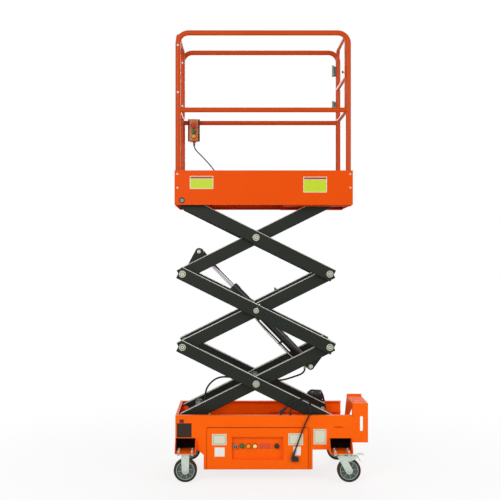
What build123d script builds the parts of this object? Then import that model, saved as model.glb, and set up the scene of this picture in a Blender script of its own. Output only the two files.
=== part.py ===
"""Push-around electric scissor lift: a sheet steel base on four casters, three scissor stages
raised by one hydraulic cylinder, and a railed platform with an end gate.

Millimetres, +Z up, +X towards the boarding step and gate, origin on the floor under the middle
of the machine. The scissor is drawn half raised.
"""

from build123d import *
import os
from math import atan2, copysign, cos, degrees, hypot, radians, sin, tan

os.makedirs("parts", exist_ok=True)

# ---- driving sizes ----------------------------------------------------------------------

# scissor
arm_length = 1090        # between end pins
arm_angle = 26.4         # above level, as drawn
arm_depth = 85
arm_width = 40
arm_end = 26             # past the pin
arm_gap = 6              # between an inner and an outer arm
arm_corner = 6           # rounding along the tube
inner_arm_y = 164        # inner face of the inner arms
pivot_x = -584.5
pivot_z = 386
stage_count = 3
pin_radius = 15
pin_clearance = 0.08
pin_reach = 28           # end pin inside a cross tube
open_pin_clearance = 1.5
washer_radius = 23
washer_thickness = 5
seat_gap = 0.3
cross_tube_radius = 25
pivot_end = 20           # past the pin where an arm end turns inside a box
pivot_chamfer = 24
roller_radius = 30
roller_width = 32

# hydraulic cylinder
cylinder_foot = (922, -69)       # along and across the first inner arm, from its lower pin
cylinder_head = (162, 87)        # along and across the third inner arm, from its lower pin
cylinder_pin_radius = 15
lug_radius = 24
lug_thickness = 12
lug_weld = 1                     # into the arm's face
lug_near_foot = 34               # along the arm from the pin, towards the joint it leans to
lug_far_foot = 104
barrel_radius = 29
barrel_length = 745              # from the foot pin to the gland's face
barrel_eye_radius = 30
barrel_eye_width = 50
rod_radius = 16
rod_tail = 335                   # rod inside the barrel, past the gland's face
rod_eye_radius = 27
rod_eye_width = 40
pipe_radius = 6
pipe_offset = 43                 # pipe beside the barrel, centre to centre

# base
base_left = -628
end_past_roller = 138.17 # right end of the base past the lower roller's axle
wall_y = 300             # outer face of the side walls
wall_top = 429
wall_bottom = 205
wall_sheet = 4
flange_width = 30
floor_top = 320
track_left = 30
box_left = -442
box_right = 273
box_bottom = 75
box_chamfer = (41, 35)
cover_left = -421
cover_right = 243
cover_bottom = 78
cover_top = 348
cover_sheet = 2
cover_overlap = 12
recess_left = -257
recess_right = 82
recess_bottom = 139.5
recess_top = 288
recess_depth = 25
control_z = 225
bracket_thickness = 8

# casters
wheel_radius = 76
tread_thickness = 14
tread_width = 46
hub_half_length = 25.5
hub_radius = 24
axle_radius = 6
caster_height = 190
caster_y = 315
fixed_caster_x = -560.5
swivel_from_end = 69
caster_trail = 47
caster_plate = (112, 92)
caster_plate_sheet = 5
caster_bolts = (90, 70)
caster_bolt_radius = 5
fork_gap = 52
fork_sheet = 4
race_radius = 30
race_height = 9
fork_foot = 23
pedal_reach = 144
shelf_sheet = 5
shelf_reach = 370
shelf_inner = 195
pocket_top = 280
fixed_pocket_length = 136
swivel_pocket_length = 149

# boarding step
step_gap = 5              # from the base's end
step_length = 101.5
step_bottom = 252
step_top = 510
step_sheet = 5
step_lip = 15
step_cheek = 38           # upright leg's width along the front wall
step_slot = (49, 68, 327, 425)   # from the step's left edge, and from the floor

# platform
deck_left = -633
deck_past_base = 7
deck_y = 300
board_below_pivot = 28.95
board_height = 226
board_sheet = 4
board_lip = 14
deck_over_pivot = 57
deck_sheet = 4
runner_left = 86         # the falling outer arms pass under this end when folded
pivot_window_radius = 20

# guard rails and gate
tube_radius = 17
mid_rail_radius = 16
bend_radius = 70
post_left = -611.5
post_inset = 27
post_foot_rise = 87       # above the boards' lower edge, as are the two rails
top_rail_rise = 1133
mid_rail_rise = 626
gate_tube_radius = 13
gate_from_post = 8        # plane of the gate inside the posts' centres
hinge_from_post = 42
hinge_y = 236
hinge_leaf = 4
gate_latch_y = -241
gate_middle_share = 0.4556   # of the way from the middle rail to the top rail
gate_bend = 45
# columns: share of that way to the hinge's middle, length
hinges = ((0.7209, 81), (0.2209, 78))
hinge_radius = 7

# pendant control
pendant_span = (-561, -499)
pendant_drop = 142        # lower end below the middle rail
pendant_height = 158
pendant_depth = 62
pendant_back = 84
pendant_y = 232

# ---- worked out from the driving sizes ----------------------------------------------------

run = arm_length * cos(radians(arm_angle))
rise = arm_length * sin(radians(arm_angle))
roller_x = pivot_x + run
base_right = roller_x + end_past_roller
fixed_pocket = (base_left, base_left + fixed_pocket_length)
swivel_pocket = (base_right - swivel_pocket_length, base_right)
swivel_axis_x = base_right - swivel_from_end
step_left = base_right + step_gap
step_right = step_left + step_length
deck_right = base_right + deck_past_base
post_right = deck_right - post_inset
gate_plane_x = post_right - gate_from_post
gate_axis = (post_right - hinge_from_post, hinge_y)
outer_arm_y = inner_arm_y + arm_width + arm_gap
outer_face_y = outer_arm_y + arm_width
top_pivot_z = pivot_z + stage_count * rise
deck_bottom = top_pivot_z + deck_over_pivot
board_bottom = top_pivot_z - board_below_pivot
board_top = board_bottom + board_height
post_foot = board_bottom + post_foot_rise
top_rail_z = board_bottom + top_rail_rise
mid_rail_z = board_bottom + mid_rail_rise
gate_height = top_rail_z - mid_rail_z
gate_middle_z = mid_rail_z + gate_middle_share * gate_height
hinge_heights = [
    (mid_rail_z + share * gate_height - length / 2, mid_rail_z + share * gate_height + length / 2)
    for share, length in hinges
]
pendant_foot = mid_rail_z - pendant_drop
deck_top = deck_bottom + deck_sheet
post_y = deck_y - board_sheet - tube_radius - seat_gap
centre = arm_length / 2


def stage_z(stage):
    """Height of the lower pins of a stage."""
    return pivot_z + stage * rise


def on_arm(stage, along, across):
    """World X and Z of a point on a stage's inner arm."""
    turn = radians(arm_angle)
    return (
        pivot_x + along * cos(turn) - across * sin(turn),
        stage_z(stage) + along * sin(turn) + across * cos(turn),
    )


foot_pin = on_arm(0, *cylinder_foot)
head_pin = on_arm(2, *cylinder_head)
cylinder_angle = degrees(atan2(head_pin[1] - foot_pin[1], head_pin[0] - foot_pin[0]))
cylinder_span = hypot(head_pin[0] - foot_pin[0], head_pin[1] - foot_pin[1])


# ---- helpers ------------------------------------------------------------------------------

def block(x_span, y_span, z_span, mode=Mode.ADD):
    """A box between two values on each axis."""
    low = (min(x_span), min(y_span), min(z_span))
    size = (abs(x_span[1] - x_span[0]), abs(y_span[1] - y_span[0]), abs(z_span[1] - z_span[0]))
    with Locations(tuple(a + b / 2 for a, b in zip(low, size))):
        Box(*size, mode=mode)


def round_y(x, z, y_span, radius, mode=Mode.ADD):
    """A round bar or hole along Y."""
    with Locations((x, sum(y_span) / 2, z)):
        Cylinder(radius, abs(y_span[1] - y_span[0]), rotation=(90, 0, 0), mode=mode)


def plate_xz(outline, y_span, mode=Mode.ADD):
    """A flat plate with an outline in X and Z and its thickness along Y."""
    with BuildSketch(Plane.XZ.offset(-max(y_span))) as profile:
        with BuildLine():
            Polyline(*outline, close=True)
        make_face()
    extrude(profile.sketch, amount=abs(y_span[1] - y_span[0]), mode=mode)


def plate_yz(outline, x_span, mode=Mode.ADD):
    """A flat plate with an outline in Y and Z and its thickness along X."""
    with BuildSketch(Plane.YZ.offset(min(x_span))) as profile:
        with BuildLine():
            Polyline(*outline, close=True)
        make_face()
    extrude(profile.sketch, amount=abs(x_span[1] - x_span[0]), mode=mode)


def tube(points, radius, bore=0, bends=0, closed=False):
    """A bent tube through points, with one bend radius or one for each corner."""
    with BuildLine() as path:
        if bends:
            FilletPolyline(*points, radius=bends, close=closed)
        else:
            Polyline(*points)
    with BuildSketch(Plane(origin=path.wire() @ 0, z_dir=path.wire() % 0)) as ring:
        Circle(radius)
        if bore:
            Circle(bore, mode=Mode.SUBTRACT)
    sweep(ring.sketch, path=path.wire())


def cord_bends(points):
    """The largest even bend at each corner of a cord's route."""
    radii = []
    for before, corner, after in zip(points, points[1:], points[2:]):
        first = Vector(*corner) - Vector(*before)
        second = Vector(*after) - Vector(*corner)
        turn = radians(first.get_angle(second))
        radii.append(0.45 * min(first.length, second.length) / tan(turn / 2))
    return radii


def arm_plane(start_z, angle, y):
    """A plane at an arm's left pin: X along the arm, Y across it, facing the front."""
    turn = radians(angle)
    return Plane(origin=(pivot_x, y, start_z), x_dir=(cos(turn), 0, sin(turn)), z_dir=(0, -1, 0))


def save(part, name):
    part.label = name
    export_step(part, f"parts/{name}.step")


# ---- base ----------------------------------------------------------------------------------

side_outline = [
    (base_left, pocket_top),
    (base_left, wall_top),
    (base_right, wall_top),
    (base_right, pocket_top),
    (swivel_pocket[0], pocket_top),
    (swivel_pocket[0], wall_bottom),
    (box_right, wall_bottom),
    (box_right, box_bottom),
    (box_left, box_bottom),
    (box_left, wall_bottom - box_chamfer[1]),
    (box_left - box_chamfer[0], wall_bottom),
    (fixed_pocket[1], wall_bottom),
    (fixed_pocket[1], pocket_top),
]
pockets = (fixed_pocket, swivel_pocket)
floor_bottom = floor_top - wall_sheet
inner_wall_y = wall_y - wall_sheet
roller_y = (outer_face_y + 6, outer_face_y + 6 + roller_width)
track_top = pivot_z - roller_radius - seat_gap
cover_opening = (
    (cover_left + cover_overlap, cover_right - cover_overlap),
    (cover_bottom + cover_overlap, cover_top - cover_overlap),
)

with BuildPart() as base_frame:
    for side in (-1, 1):
        outer = side * wall_y
        inner = side * inner_wall_y
        plate_xz(side_outline, (outer, inner))
        # folded lip along the top
        block((base_left, base_right), (inner, inner - side * flange_width), (wall_top - wall_sheet, wall_top))
        # ledge the lower roller runs on
        block((track_left, base_right), (inner, side * roller_y[0]), (track_top - wall_sheet, track_top))
    # tray floor, open where the box hangs below it
    block((base_left, base_right), (-inner_wall_y, inner_wall_y), (floor_top - wall_sheet, floor_top))
    # left end wall with its lip, and the right end, open above the tray floor
    block((base_left, base_left + wall_sheet), (-wall_y, wall_y), (floor_bottom, wall_top))
    for end in (base_left, base_right - wall_sheet):
        block((end, end + wall_sheet), (-shelf_inner, shelf_inner), (caster_height, floor_top))
    block((base_left, base_left + wall_sheet + 14), (-wall_y, wall_y), (wall_top - wall_sheet, wall_top))
    # box under the tray
    block((box_left, box_right), (-wall_y, wall_y), (box_bottom, box_bottom + wall_sheet))
    block(
        (box_right - wall_sheet, box_right),
        (-wall_y, wall_y),
        (box_bottom, floor_top - wall_sheet),
    )
    block(
        (box_left, box_left + wall_sheet),
        (-wall_y, wall_y),
        (box_bottom, wall_bottom - box_chamfer[1]),
    )
    slope = [
        (box_left, wall_bottom - box_chamfer[1]),
        (box_left - box_chamfer[0], wall_bottom),
        (box_left - box_chamfer[0], floor_top - wall_sheet),
        (box_left - box_chamfer[0] + wall_sheet, floor_top - wall_sheet),
        (box_left - box_chamfer[0] + wall_sheet, wall_bottom),
        (box_left + wall_sheet, wall_bottom - box_chamfer[1]),
    ]
    plate_xz(slope, (-inner_wall_y, inner_wall_y))
    # openings behind the two covers
    for side in (-1, 1):
        block(
            cover_opening[0],
            (side * (wall_y + 1), side * (inner_wall_y - 1)),
            cover_opening[1],
            mode=Mode.SUBTRACT,
        )
save(base_frame.part, "base_frame")

# pockets welded under the tray over the casters: shelf, back and two cheeks each
with BuildPart() as caster_pockets:
    for side in (-1, 1):
        cheek = [
            (side * shelf_inner, caster_height),
            (side * shelf_reach, caster_height),
            (side * shelf_reach, caster_height + 22),
            (side * (wall_y + 12), pocket_top),
            (side * inner_wall_y, pocket_top),
            (side * inner_wall_y, floor_bottom),
            (side * shelf_inner, floor_bottom),
        ]
        back = (side * shelf_inner, side * (shelf_inner + wall_sheet))
        for left, right in pockets:
            plate_yz(cheek, (left, left + wall_sheet))
            plate_yz(cheek, (right - wall_sheet, right))
            block((left, right), back, (caster_height, floor_bottom))
            block((left, right), (side * shelf_inner, side * shelf_reach), (caster_height, caster_height + shelf_sheet))
        for caster_x in (fixed_caster_x, swivel_axis_x):
            with Locations((caster_x, side * caster_y, caster_height + shelf_sheet / 2)):
                with GridLocations(*caster_bolts, 2, 2):
                    Cylinder(caster_bolt_radius, shelf_sheet * 2, mode=Mode.SUBTRACT)
save(caster_pockets.part, "caster_pockets")

# two ears and the pin of the scissor's fixed pivot on each side
with BuildPart() as pivot_brackets:
    for side in (-1, 1):
        for ear in (inner_arm_y - 4 - bracket_thickness, inner_arm_y + arm_width + 4):
            ear_outline = [
                (pivot_x - 34, floor_top),
                (pivot_x - 26, pivot_z + 12),
                (pivot_x - 12, pivot_z + 28),
                (pivot_x + 12, pivot_z + 28),
                (pivot_x + 26, pivot_z + 12),
                (pivot_x + 48, floor_top),
            ]
            plate_xz(ear_outline, (side * ear, side * (ear + bracket_thickness)))
        pin_ends = (side * (inner_arm_y - 16), side * (inner_arm_y + arm_width + 16))
        round_y(pivot_x, pivot_z, pin_ends, pin_radius)
save(pivot_brackets.part, "pivot_brackets")

cover_y = wall_y + cover_sheet
with BuildPart() as front_cover:
    block((cover_left, cover_right), (-cover_y, -wall_y), (cover_bottom, cover_top))
    block(
        (recess_left - cover_sheet, recess_right + cover_sheet),
        (-wall_y, -cover_y + recess_depth + cover_sheet),
        (recess_bottom - cover_sheet, recess_top + cover_sheet),
    )
    block(
        (recess_left, recess_right),
        (-cover_y - 1, -cover_y + recess_depth),
        (recess_bottom, recess_top),
        mode=Mode.SUBTRACT,
    )
save(front_cover.part, "front_cover")

with BuildPart() as rear_cover:
    block((cover_left, cover_right), (wall_y, cover_y), (cover_bottom, cover_top))
save(rear_cover.part, "rear_cover")

# columns: X, button radius, how far it stands out of the recess's back
controls = (
    (-234, 12, 20),
    (-190, 12, 14),
    (-148, 12, 14),
    (-105, 12, 14),
    (39, 13, 17),
)
recess_back = -cover_y + recess_depth
with BuildPart() as panel_controls:
    for control_x, control_radius, control_height in controls:
        round_y(control_x, control_z, (recess_back - 4, recess_back), control_radius + 3)
        round_y(control_x, control_z, (recess_back - control_height, recess_back - 4), control_radius)
save(panel_controls.part, "panel_controls")

inlet = (135, 177, 132, 157)
power_cord_route = [
    (146, -313, 172),
    (218, -312, 371),
    (240, -312, 410),
    (252, -311, 440),
    (257, -308, 466),
    (248, -303, 493),
    (226, -297, 512),
    (196, -291, 519),
    (166, -287, 511),
    (144, -283, 490),
    (128, -281, 462),
    (128, -281, 433),
]
cord_start = Vector(*power_cord_route[0])
cord_heading = (Vector(*power_cord_route[1]) - cord_start).normalized()
with BuildPart() as charger_inlet:
    block(inlet[:2], (-cover_y - 22, -cover_y), inlet[2:])
    # relief the power cord leaves through
    with BuildSketch(Plane(origin=cord_start, z_dir=-cord_heading)) as relief:
        Circle(7)
    extrude(relief.sketch, amount=20)
save(charger_inlet.part, "charger_inlet")

with BuildPart() as power_unit:
    block(
        (box_left + 60, box_right - 40),
        (-wall_y + 60, wall_y - 60),
        (box_bottom + wall_sheet, 280),
    )
save(power_unit.part, "power_unit")

# ---- boarding step -------------------------------------------------------------------------

with BuildPart() as boarding_step:
    plate_xz(
        [(step_left, step_bottom), (step_right, step_bottom), (step_right, step_top), (step_left, step_top)],
        (-wall_y, -wall_y + step_sheet),
    )
    block((step_left, step_right), (-wall_y, 0), (step_top - step_sheet, step_top))
    # lip standing up along the step's back edge
    block((step_left, step_right), (-step_sheet, 0), (step_top - step_sheet, step_top + step_lip))
    leg = [
        (-wall_y, step_top),
        (0, step_top),
        (104, step_top - 148),
        (104, step_top - 240),
        (40, step_top - 240),
        (0, step_top - 180),
        (-116, step_top - 107),
        (step_cheek - wall_y, step_top - 32),
        (step_cheek - wall_y, step_bottom),
        (-wall_y, step_bottom),
    ]
    plate_yz(leg, (step_left, step_left + step_sheet))
    # spacers it is welded to the base through
    block((base_right, step_left), (44, 100), (step_top - 235, step_top - 195))
    block((base_right, step_left), (-wall_y, -270), (step_bottom, wall_top - 5))
    with BuildSketch(Plane.XZ.offset(wall_y - step_sheet - 1)) as slot:
        with Locations((step_left + (step_slot[0] + step_slot[1]) / 2, (step_slot[2] + step_slot[3]) / 2)):
            SlotOverall(step_slot[3] - step_slot[2], step_slot[1] - step_slot[0], rotation=90)
    extrude(slot.sketch, amount=step_sheet + 2, mode=Mode.SUBTRACT)
save(boarding_step.part, "boarding_step")

# ---- limit switch on the rear wall -----------------------------------------------------------

with BuildPart() as limit_switch:
    plate_xz(
        [
            (284, wall_top),
            (287, wall_top + 63),
            (314, wall_top + 84),
            (388, wall_top + 80),
            (404, wall_top + 49),
            (416, wall_top),
        ],
        (inner_wall_y - 26, inner_wall_y - 4),
    )
save(limit_switch.part, "limit_switch")

# ---- scissor arms -----------------------------------------------------------------------------

def arm_outline(left_pivot, right_pivot):
    """Side outline of an arm from its left pin, square at a joint and cut back at a pivot."""
    half = arm_depth / 2
    points = []
    for end, is_pivot, sign in ((0, left_pivot, -1), (arm_length, right_pivot, 1)):
        reach = pivot_end if is_pivot else arm_end
        tip = end + sign * reach
        corner = pivot_chamfer if is_pivot else 3
        pair = [(tip - sign * corner, half), (tip, half - corner), (tip, corner - half), (tip - sign * corner, -half)]
        points += pair if sign > 0 else pair[::-1]
    return points


def arm_pair(stage, inner, holes, left_pivot=False, right_pivot=False):
    """The front and rear arm of one stage. Inner arms rise to the right, outer arms fall."""
    start_z = stage_z(stage) if inner else stage_z(stage + 1)
    angle = arm_angle if inner else -arm_angle
    near = inner_arm_y if inner else outer_arm_y
    turn = radians(angle)
    past = arm_end + 4
    for y_back in (-near, near + arm_width):
        side_plane = arm_plane(start_z, angle, y_back)
        section_plane = Plane(
            origin=side_plane.from_local_coords((-past, 0, arm_width / 2)),
            x_dir=(0, 1, 0),
            z_dir=(cos(turn), 0, sin(turn)),
        )
        with BuildPart(mode=Mode.PRIVATE) as arm:
            with BuildSketch(section_plane) as section:
                RectangleRounded(arm_width, arm_depth, arm_corner)
            extrude(section.sketch, amount=arm_length + 2 * past)
            with BuildSketch(side_plane) as profile:
                with BuildLine():
                    Polyline(*arm_outline(left_pivot, right_pivot), close=True)
                make_face()
                for along, radius in holes:
                    with Locations((along, 0)):
                        Circle(radius, mode=Mode.SUBTRACT)
            extrude(profile.sketch, amount=arm_width, mode=Mode.INTERSECT)
        add(arm.part)


def cylinder_lugs(stage, pin, feet, bore):
    """Two plates on the inner faces of the inner arms, rounded about a cylinder pin."""
    arm_edge = copysign(arm_depth / 2, pin[1])
    for y_back in (-inner_arm_y + lug_thickness, inner_arm_y + lug_weld):
        with BuildSketch(arm_plane(stage_z(stage), arm_angle, y_back)) as profile:
            with Locations(pin):
                Circle(lug_radius)
            with Locations((pin[0] + sum(feet) / 2, arm_edge / 2)):
                Rectangle(feet[1] - feet[0], abs(arm_edge))
            make_hull()
            if bore:
                with Locations(pin):
                    Circle(bore, mode=Mode.SUBTRACT)
        extrude(profile.sketch, amount=lug_thickness + lug_weld)
    if not bore:
        pin_x, pin_z = on_arm(stage, *pin)
        for side in (-1, 1):
            round_y(pin_x, pin_z, (side * inner_arm_y, side * (inner_arm_y + 4)), cylinder_pin_radius)


fit_hole = pin_radius + pin_clearance
open_hole = pin_radius + open_pin_clearance
last = stage_count - 1
# cross tubes along each inner arm; the cylinder passes the middle of the second stage
tube_stations = ((110, centre, arm_length), (0, arm_length), (0, centre, arm_length))

for stage in range(stage_count):
    with BuildPart() as inner_arms:
        arm_pair(
            stage,
            inner=True,
            holes=[(0, fit_hole), (centre, pin_radius), (arm_length, pin_radius)],
            left_pivot=stage == 0,
            right_pivot=stage == last,
        )
        for along in tube_stations[stage]:
            tube_x, tube_z = on_arm(stage, along, 0)
            round_y(tube_x, tube_z, (-inner_arm_y, inner_arm_y), cross_tube_radius)
        if stage > 0:
            # the end pins of the stage below reach into the cross tube
            for side in (-1, 1):
                bore = (side * (inner_arm_y - pin_reach - 2), side * (inner_arm_y + 1))
                round_y(pivot_x, stage_z(stage), bore, fit_hole, mode=Mode.SUBTRACT)
        if stage == 0:
            cylinder_lugs(stage, cylinder_foot, (-lug_near_foot, lug_far_foot), cylinder_pin_radius)
        if stage == last:
            cylinder_lugs(stage, cylinder_head, (-lug_far_foot, lug_near_foot), 0)
    save(inner_arms.part, f"inner_arms_{stage + 1}")

    with BuildPart() as outer_arms:
        left_hole = fit_hole if stage == last else pin_radius
        right_hole = open_hole if stage else pin_radius
        arm_pair(
            stage,
            inner=False,
            holes=[(0, left_hole), (centre, fit_hole), (arm_length, right_hole)],
            left_pivot=stage == last,
            right_pivot=stage == 0,
        )
    save(outer_arms.part, f"outer_arms_{stage + 1}")


# ---- scissor pins, washers and rollers ----------------------------------------------------------

small_washer_radius = 18
top_roller_y = (inner_arm_y + arm_width + 6.5, outer_face_y - board_sheet - 4)


def joint_pin(x, z, y_near, y_far, washer, gap):
    """A pin on each side, from y_near to past the arm face at y_far, with its washer."""
    for side in (-1, 1):
        face = y_far + gap
        round_y(x, z, (side * y_near, side * (face + washer_thickness)), pin_radius)
        round_y(x, z, (side * face, side * (face + washer_thickness)), washer)


for stage in range(stage_count):
    with BuildPart() as inner_pins:
        centre_x, centre_z = on_arm(stage, centre, 0)
        washer = small_washer_radius if stage == 1 else washer_radius
        joint_pin(centre_x, centre_z, inner_arm_y, outer_face_y, washer, seat_gap)
        if stage == last:
            for side in (-1, 1):
                axle = (side * inner_arm_y, side * top_roller_y[0])
                round_y(roller_x, top_pivot_z, axle, pin_radius)
                wheel = (side * top_roller_y[0], side * top_roller_y[1])
                round_y(roller_x, top_pivot_z, wheel, roller_radius)
        else:
            joint_pin(roller_x, stage_z(stage + 1), inner_arm_y, outer_face_y, washer_radius, seat_gap)
        if stage == 0:
            foot_ends = (-inner_arm_y - 4, inner_arm_y + 4)
            round_y(*foot_pin, foot_ends, cylinder_pin_radius)
    save(inner_pins.part, f"inner_pins_{stage + 1}")

for stage in range(last):
    with BuildPart() as outer_pins:
        joint_pin(
            pivot_x,
            stage_z(stage + 1),
            inner_arm_y - pin_reach,
            outer_face_y,
            washer_radius,
            0,
        )
        if stage == 0:
            for side in (-1, 1):
                axle = (side * outer_arm_y, side * roller_y[0])
                round_y(roller_x, pivot_z, axle, pin_radius)
                wheel = (side * roller_y[0], side * roller_y[1])
                round_y(roller_x, pivot_z, wheel, roller_radius)
    save(outer_pins.part, f"outer_pins_{stage + 1}")

# ---- hydraulic cylinder -------------------------------------------------------------------------

lift = radians(cylinder_angle)
cylinder_axis = (cos(lift), 0, sin(lift))
cylinder_side = Plane(origin=(foot_pin[0], 0, foot_pin[1]), x_dir=cylinder_axis, z_dir=(0, -1, 0))
bore_radius = barrel_radius - 7
bore_start = 60
gland_length = 40
rod_clearance = 0.08


def along_cylinder(start):
    """A plane across the cylinder at a distance from the foot pin."""
    origin = (foot_pin[0] + start * cos(lift), 0, foot_pin[1] + start * sin(lift))
    return Plane(origin=origin, z_dir=cylinder_axis)


def cylinder_bar(start, end, radius, mode=Mode.ADD):
    """A round length on the cylinder's axis."""
    with BuildSketch(along_cylinder(start)) as ring:
        Circle(radius)
    extrude(ring.sketch, amount=end - start, mode=mode)


with BuildPart() as cylinder_barrel:
    round_y(*foot_pin, (-barrel_eye_width / 2, barrel_eye_width / 2), barrel_eye_radius)
    cylinder_bar(20, barrel_length, barrel_radius)
    cylinder_bar(barrel_length - gland_length, barrel_length - 6, barrel_radius + 3)
    cylinder_bar(bore_start, barrel_length - gland_length, bore_radius, mode=Mode.SUBTRACT)
    cylinder_bar(bore_start, barrel_length + 1, rod_radius + rod_clearance, mode=Mode.SUBTRACT)
    round_y(
        *foot_pin,
        (-barrel_eye_width, barrel_eye_width),
        cylinder_pin_radius + pin_clearance,
        mode=Mode.SUBTRACT,
    )
    # ports the side pipe joins
    for port in (70, barrel_length - gland_length - 20):
        with BuildSketch(cylinder_side.offset(-11)) as boss:
            with Locations((port, (barrel_radius - 4 + pipe_offset + 9) / 2)):
                Rectangle(26, pipe_offset + 9 - barrel_radius + 4)
        extrude(boss.sketch, amount=22)
save(cylinder_barrel.part, "cylinder_barrel")

with BuildPart() as cylinder_pipe:
    with BuildSketch(
        Plane(
            origin=cylinder_side.from_local_coords((83, pipe_offset, 0)),
            z_dir=cylinder_axis,
        )
    ) as ring:
        Circle(pipe_radius)
    extrude(ring.sketch, amount=barrel_length - gland_length - 20 - 13 - 83)
save(cylinder_pipe.part, "cylinder_pipe")

with BuildPart() as cylinder_rod:
    cylinder_bar(barrel_length - rod_tail, cylinder_span - rod_eye_radius + 4, rod_radius)
    cylinder_bar(barrel_length - rod_tail - 30, barrel_length - rod_tail, bore_radius - rod_clearance)
    round_y(*head_pin, (-rod_eye_width / 2, rod_eye_width / 2), rod_eye_radius)
    round_y(*head_pin, (-rod_eye_width, rod_eye_width), cylinder_pin_radius, mode=Mode.SUBTRACT)
save(cylinder_rod.part, "cylinder_rod")

with BuildPart() as head_pin_bar:
    half_span = inner_arm_y - lug_thickness - 2 * seat_gap
    round_y(*head_pin, (-half_span, half_span), cylinder_pin_radius)
save(head_pin_bar.part, "head_pin")

# ---- platform -----------------------------------------------------------------------------------

inner_deck_y = deck_y - board_sheet
notch = 40
with BuildPart() as platform_tub:
    # deck, notched at the corners for the posts
    with BuildSketch(Plane.XY.offset(deck_bottom)) as deck:
        with Locations(((deck_left + deck_right) / 2, 0)):
            Rectangle(deck_right - deck_left - 2 * board_sheet, 2 * inner_deck_y)
        for end_x in (deck_left + board_sheet, deck_right - board_sheet):
            for side in (-1, 1):
                with Locations((end_x, side * inner_deck_y)):
                    Rectangle(2 * notch, 2 * notch, mode=Mode.SUBTRACT)
    extrude(deck.sketch, amount=deck_sheet)
    for side in (-1, 1):
        outer = side * deck_y
        inner = side * inner_deck_y
        block((deck_left, deck_right), (outer, inner), (board_bottom, board_top))
        block((deck_left, deck_right), (inner, inner - side * board_lip), (board_bottom, board_bottom + 4))
        round_y(
            pivot_x,
            top_pivot_z,
            (side * (deck_y + 1), side * (inner_deck_y - 1)),
            pivot_window_radius,
            mode=Mode.SUBTRACT,
        )
        # ears and pin of the upper fixed pivot
        for ear in (outer_arm_y - 12, outer_face_y + 4):
            ear_outline = [
                (pivot_x - 26, deck_bottom),
                (pivot_x - 26, top_pivot_z - 10),
                (pivot_x - 12, top_pivot_z - 26),
                (pivot_x + 12, top_pivot_z - 26),
                (pivot_x + 26, top_pivot_z - 10),
                (pivot_x + 50, deck_bottom),
            ]
            plate_xz(ear_outline, (side * ear, side * (ear + 8)))
        round_y(pivot_x, top_pivot_z, (side * (outer_arm_y - 16), side * (inner_deck_y - 6)), pin_radius)
        # runner the upper roller rides on
        ledge_top = top_pivot_z - roller_radius - seat_gap
        web = (side * (outer_face_y - board_sheet), side * outer_face_y)
        block((runner_left, deck_right - board_sheet), web, (ledge_top - board_sheet, deck_bottom))
        ledge = (side * top_roller_y[0], side * outer_face_y)
        block((runner_left, deck_right - board_sheet), ledge, (ledge_top - board_sheet, ledge_top))
    for end, inward in ((deck_left, 1), (deck_right, -1)):
        block((end, end + inward * board_sheet), (-deck_y, deck_y), (board_bottom, board_top))
save(platform_tub.part, "platform_tub")


def rail_frame(side):
    """One side's bent rail with its posts and middle rail."""
    y = side * post_y
    tube(
        [
            (post_left, y, post_foot),
            (post_left, y, top_rail_z),
            (post_right, y, top_rail_z),
            (post_right, y, post_foot),
        ],
        tube_radius,
        bends=bend_radius,
    )
    tube([(post_left, y, mid_rail_z), (post_right, y, mid_rail_z)], mid_rail_radius)


for side, name in ((-1, "front_rail"), (1, "rear_rail")):
    with BuildPart() as rail:
        rail_frame(side)
    save(rail.part, name)

end_rail_y = post_y - 2 * tube_radius - seat_gap
with BuildPart() as end_rail:
    tube(
        [
            (post_left, -end_rail_y, mid_rail_z),
            (post_left, -end_rail_y, top_rail_z),
            (post_left, end_rail_y, top_rail_z),
            (post_left, end_rail_y, mid_rail_z),
        ],
        tube_radius,
        bends=bend_radius,
        closed=True,
    )
save(end_rail.part, "end_rail")

gate_hinge_y = gate_axis[1] - 14
stop_x = post_right - tube_radius - seat_gap
with BuildPart() as gate_frame:
    tube(
        [
            (gate_plane_x, gate_latch_y, mid_rail_z),
            (gate_plane_x, gate_latch_y, top_rail_z),
            (gate_plane_x, gate_hinge_y, top_rail_z),
            (gate_plane_x, gate_hinge_y, mid_rail_z),
        ],
        gate_tube_radius,
        bends=gate_bend,
        closed=True,
    )
    tube(
        [(gate_plane_x, gate_latch_y, gate_middle_z), (gate_plane_x, gate_hinge_y, gate_middle_z)],
        gate_tube_radius,
    )
    # plate that meets the inside of the front post, so the gate opens inwards only
    block(
        (stop_x - 8, stop_x),
        (-post_y - 4, gate_latch_y + 2),
        (gate_middle_z - 18, gate_middle_z + 62),
    )
save(gate_frame.part, "gate_frame")

# a leaf ends where its flat faces meet the round tube
leaf_far_y = gate_axis[1] - hinge_radius + hinge_leaf
gate_leaf_end = gate_plane_x - (gate_tube_radius**2 - (gate_axis[1] - hinge_radius - gate_hinge_y) ** 2) ** 0.5
post_leaf_y = (gate_axis[1] + 28, gate_axis[1] + 28 + hinge_leaf)
post_leaf_end = post_right - (tube_radius**2 - (post_y - post_leaf_y[1]) ** 2) ** 0.5
with BuildPart() as gate_leaves:
    for low, high in hinge_heights:
        middle = (low + high) / 2
        with Locations((*gate_axis, (low + middle) / 2)):
            Cylinder(hinge_radius, middle - low - seat_gap)
        block(
            (gate_axis[0], gate_leaf_end - 0.2),
            (gate_axis[1] - hinge_radius, leaf_far_y),
            (low + seat_gap / 2, middle - seat_gap / 2),
        )
        with Locations((*gate_axis, (low + middle) / 2)):
            Cylinder(hinge_radius / 2 + pin_clearance, high - low, mode=Mode.SUBTRACT)
save(gate_leaves.part, "gate_leaves")

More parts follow.
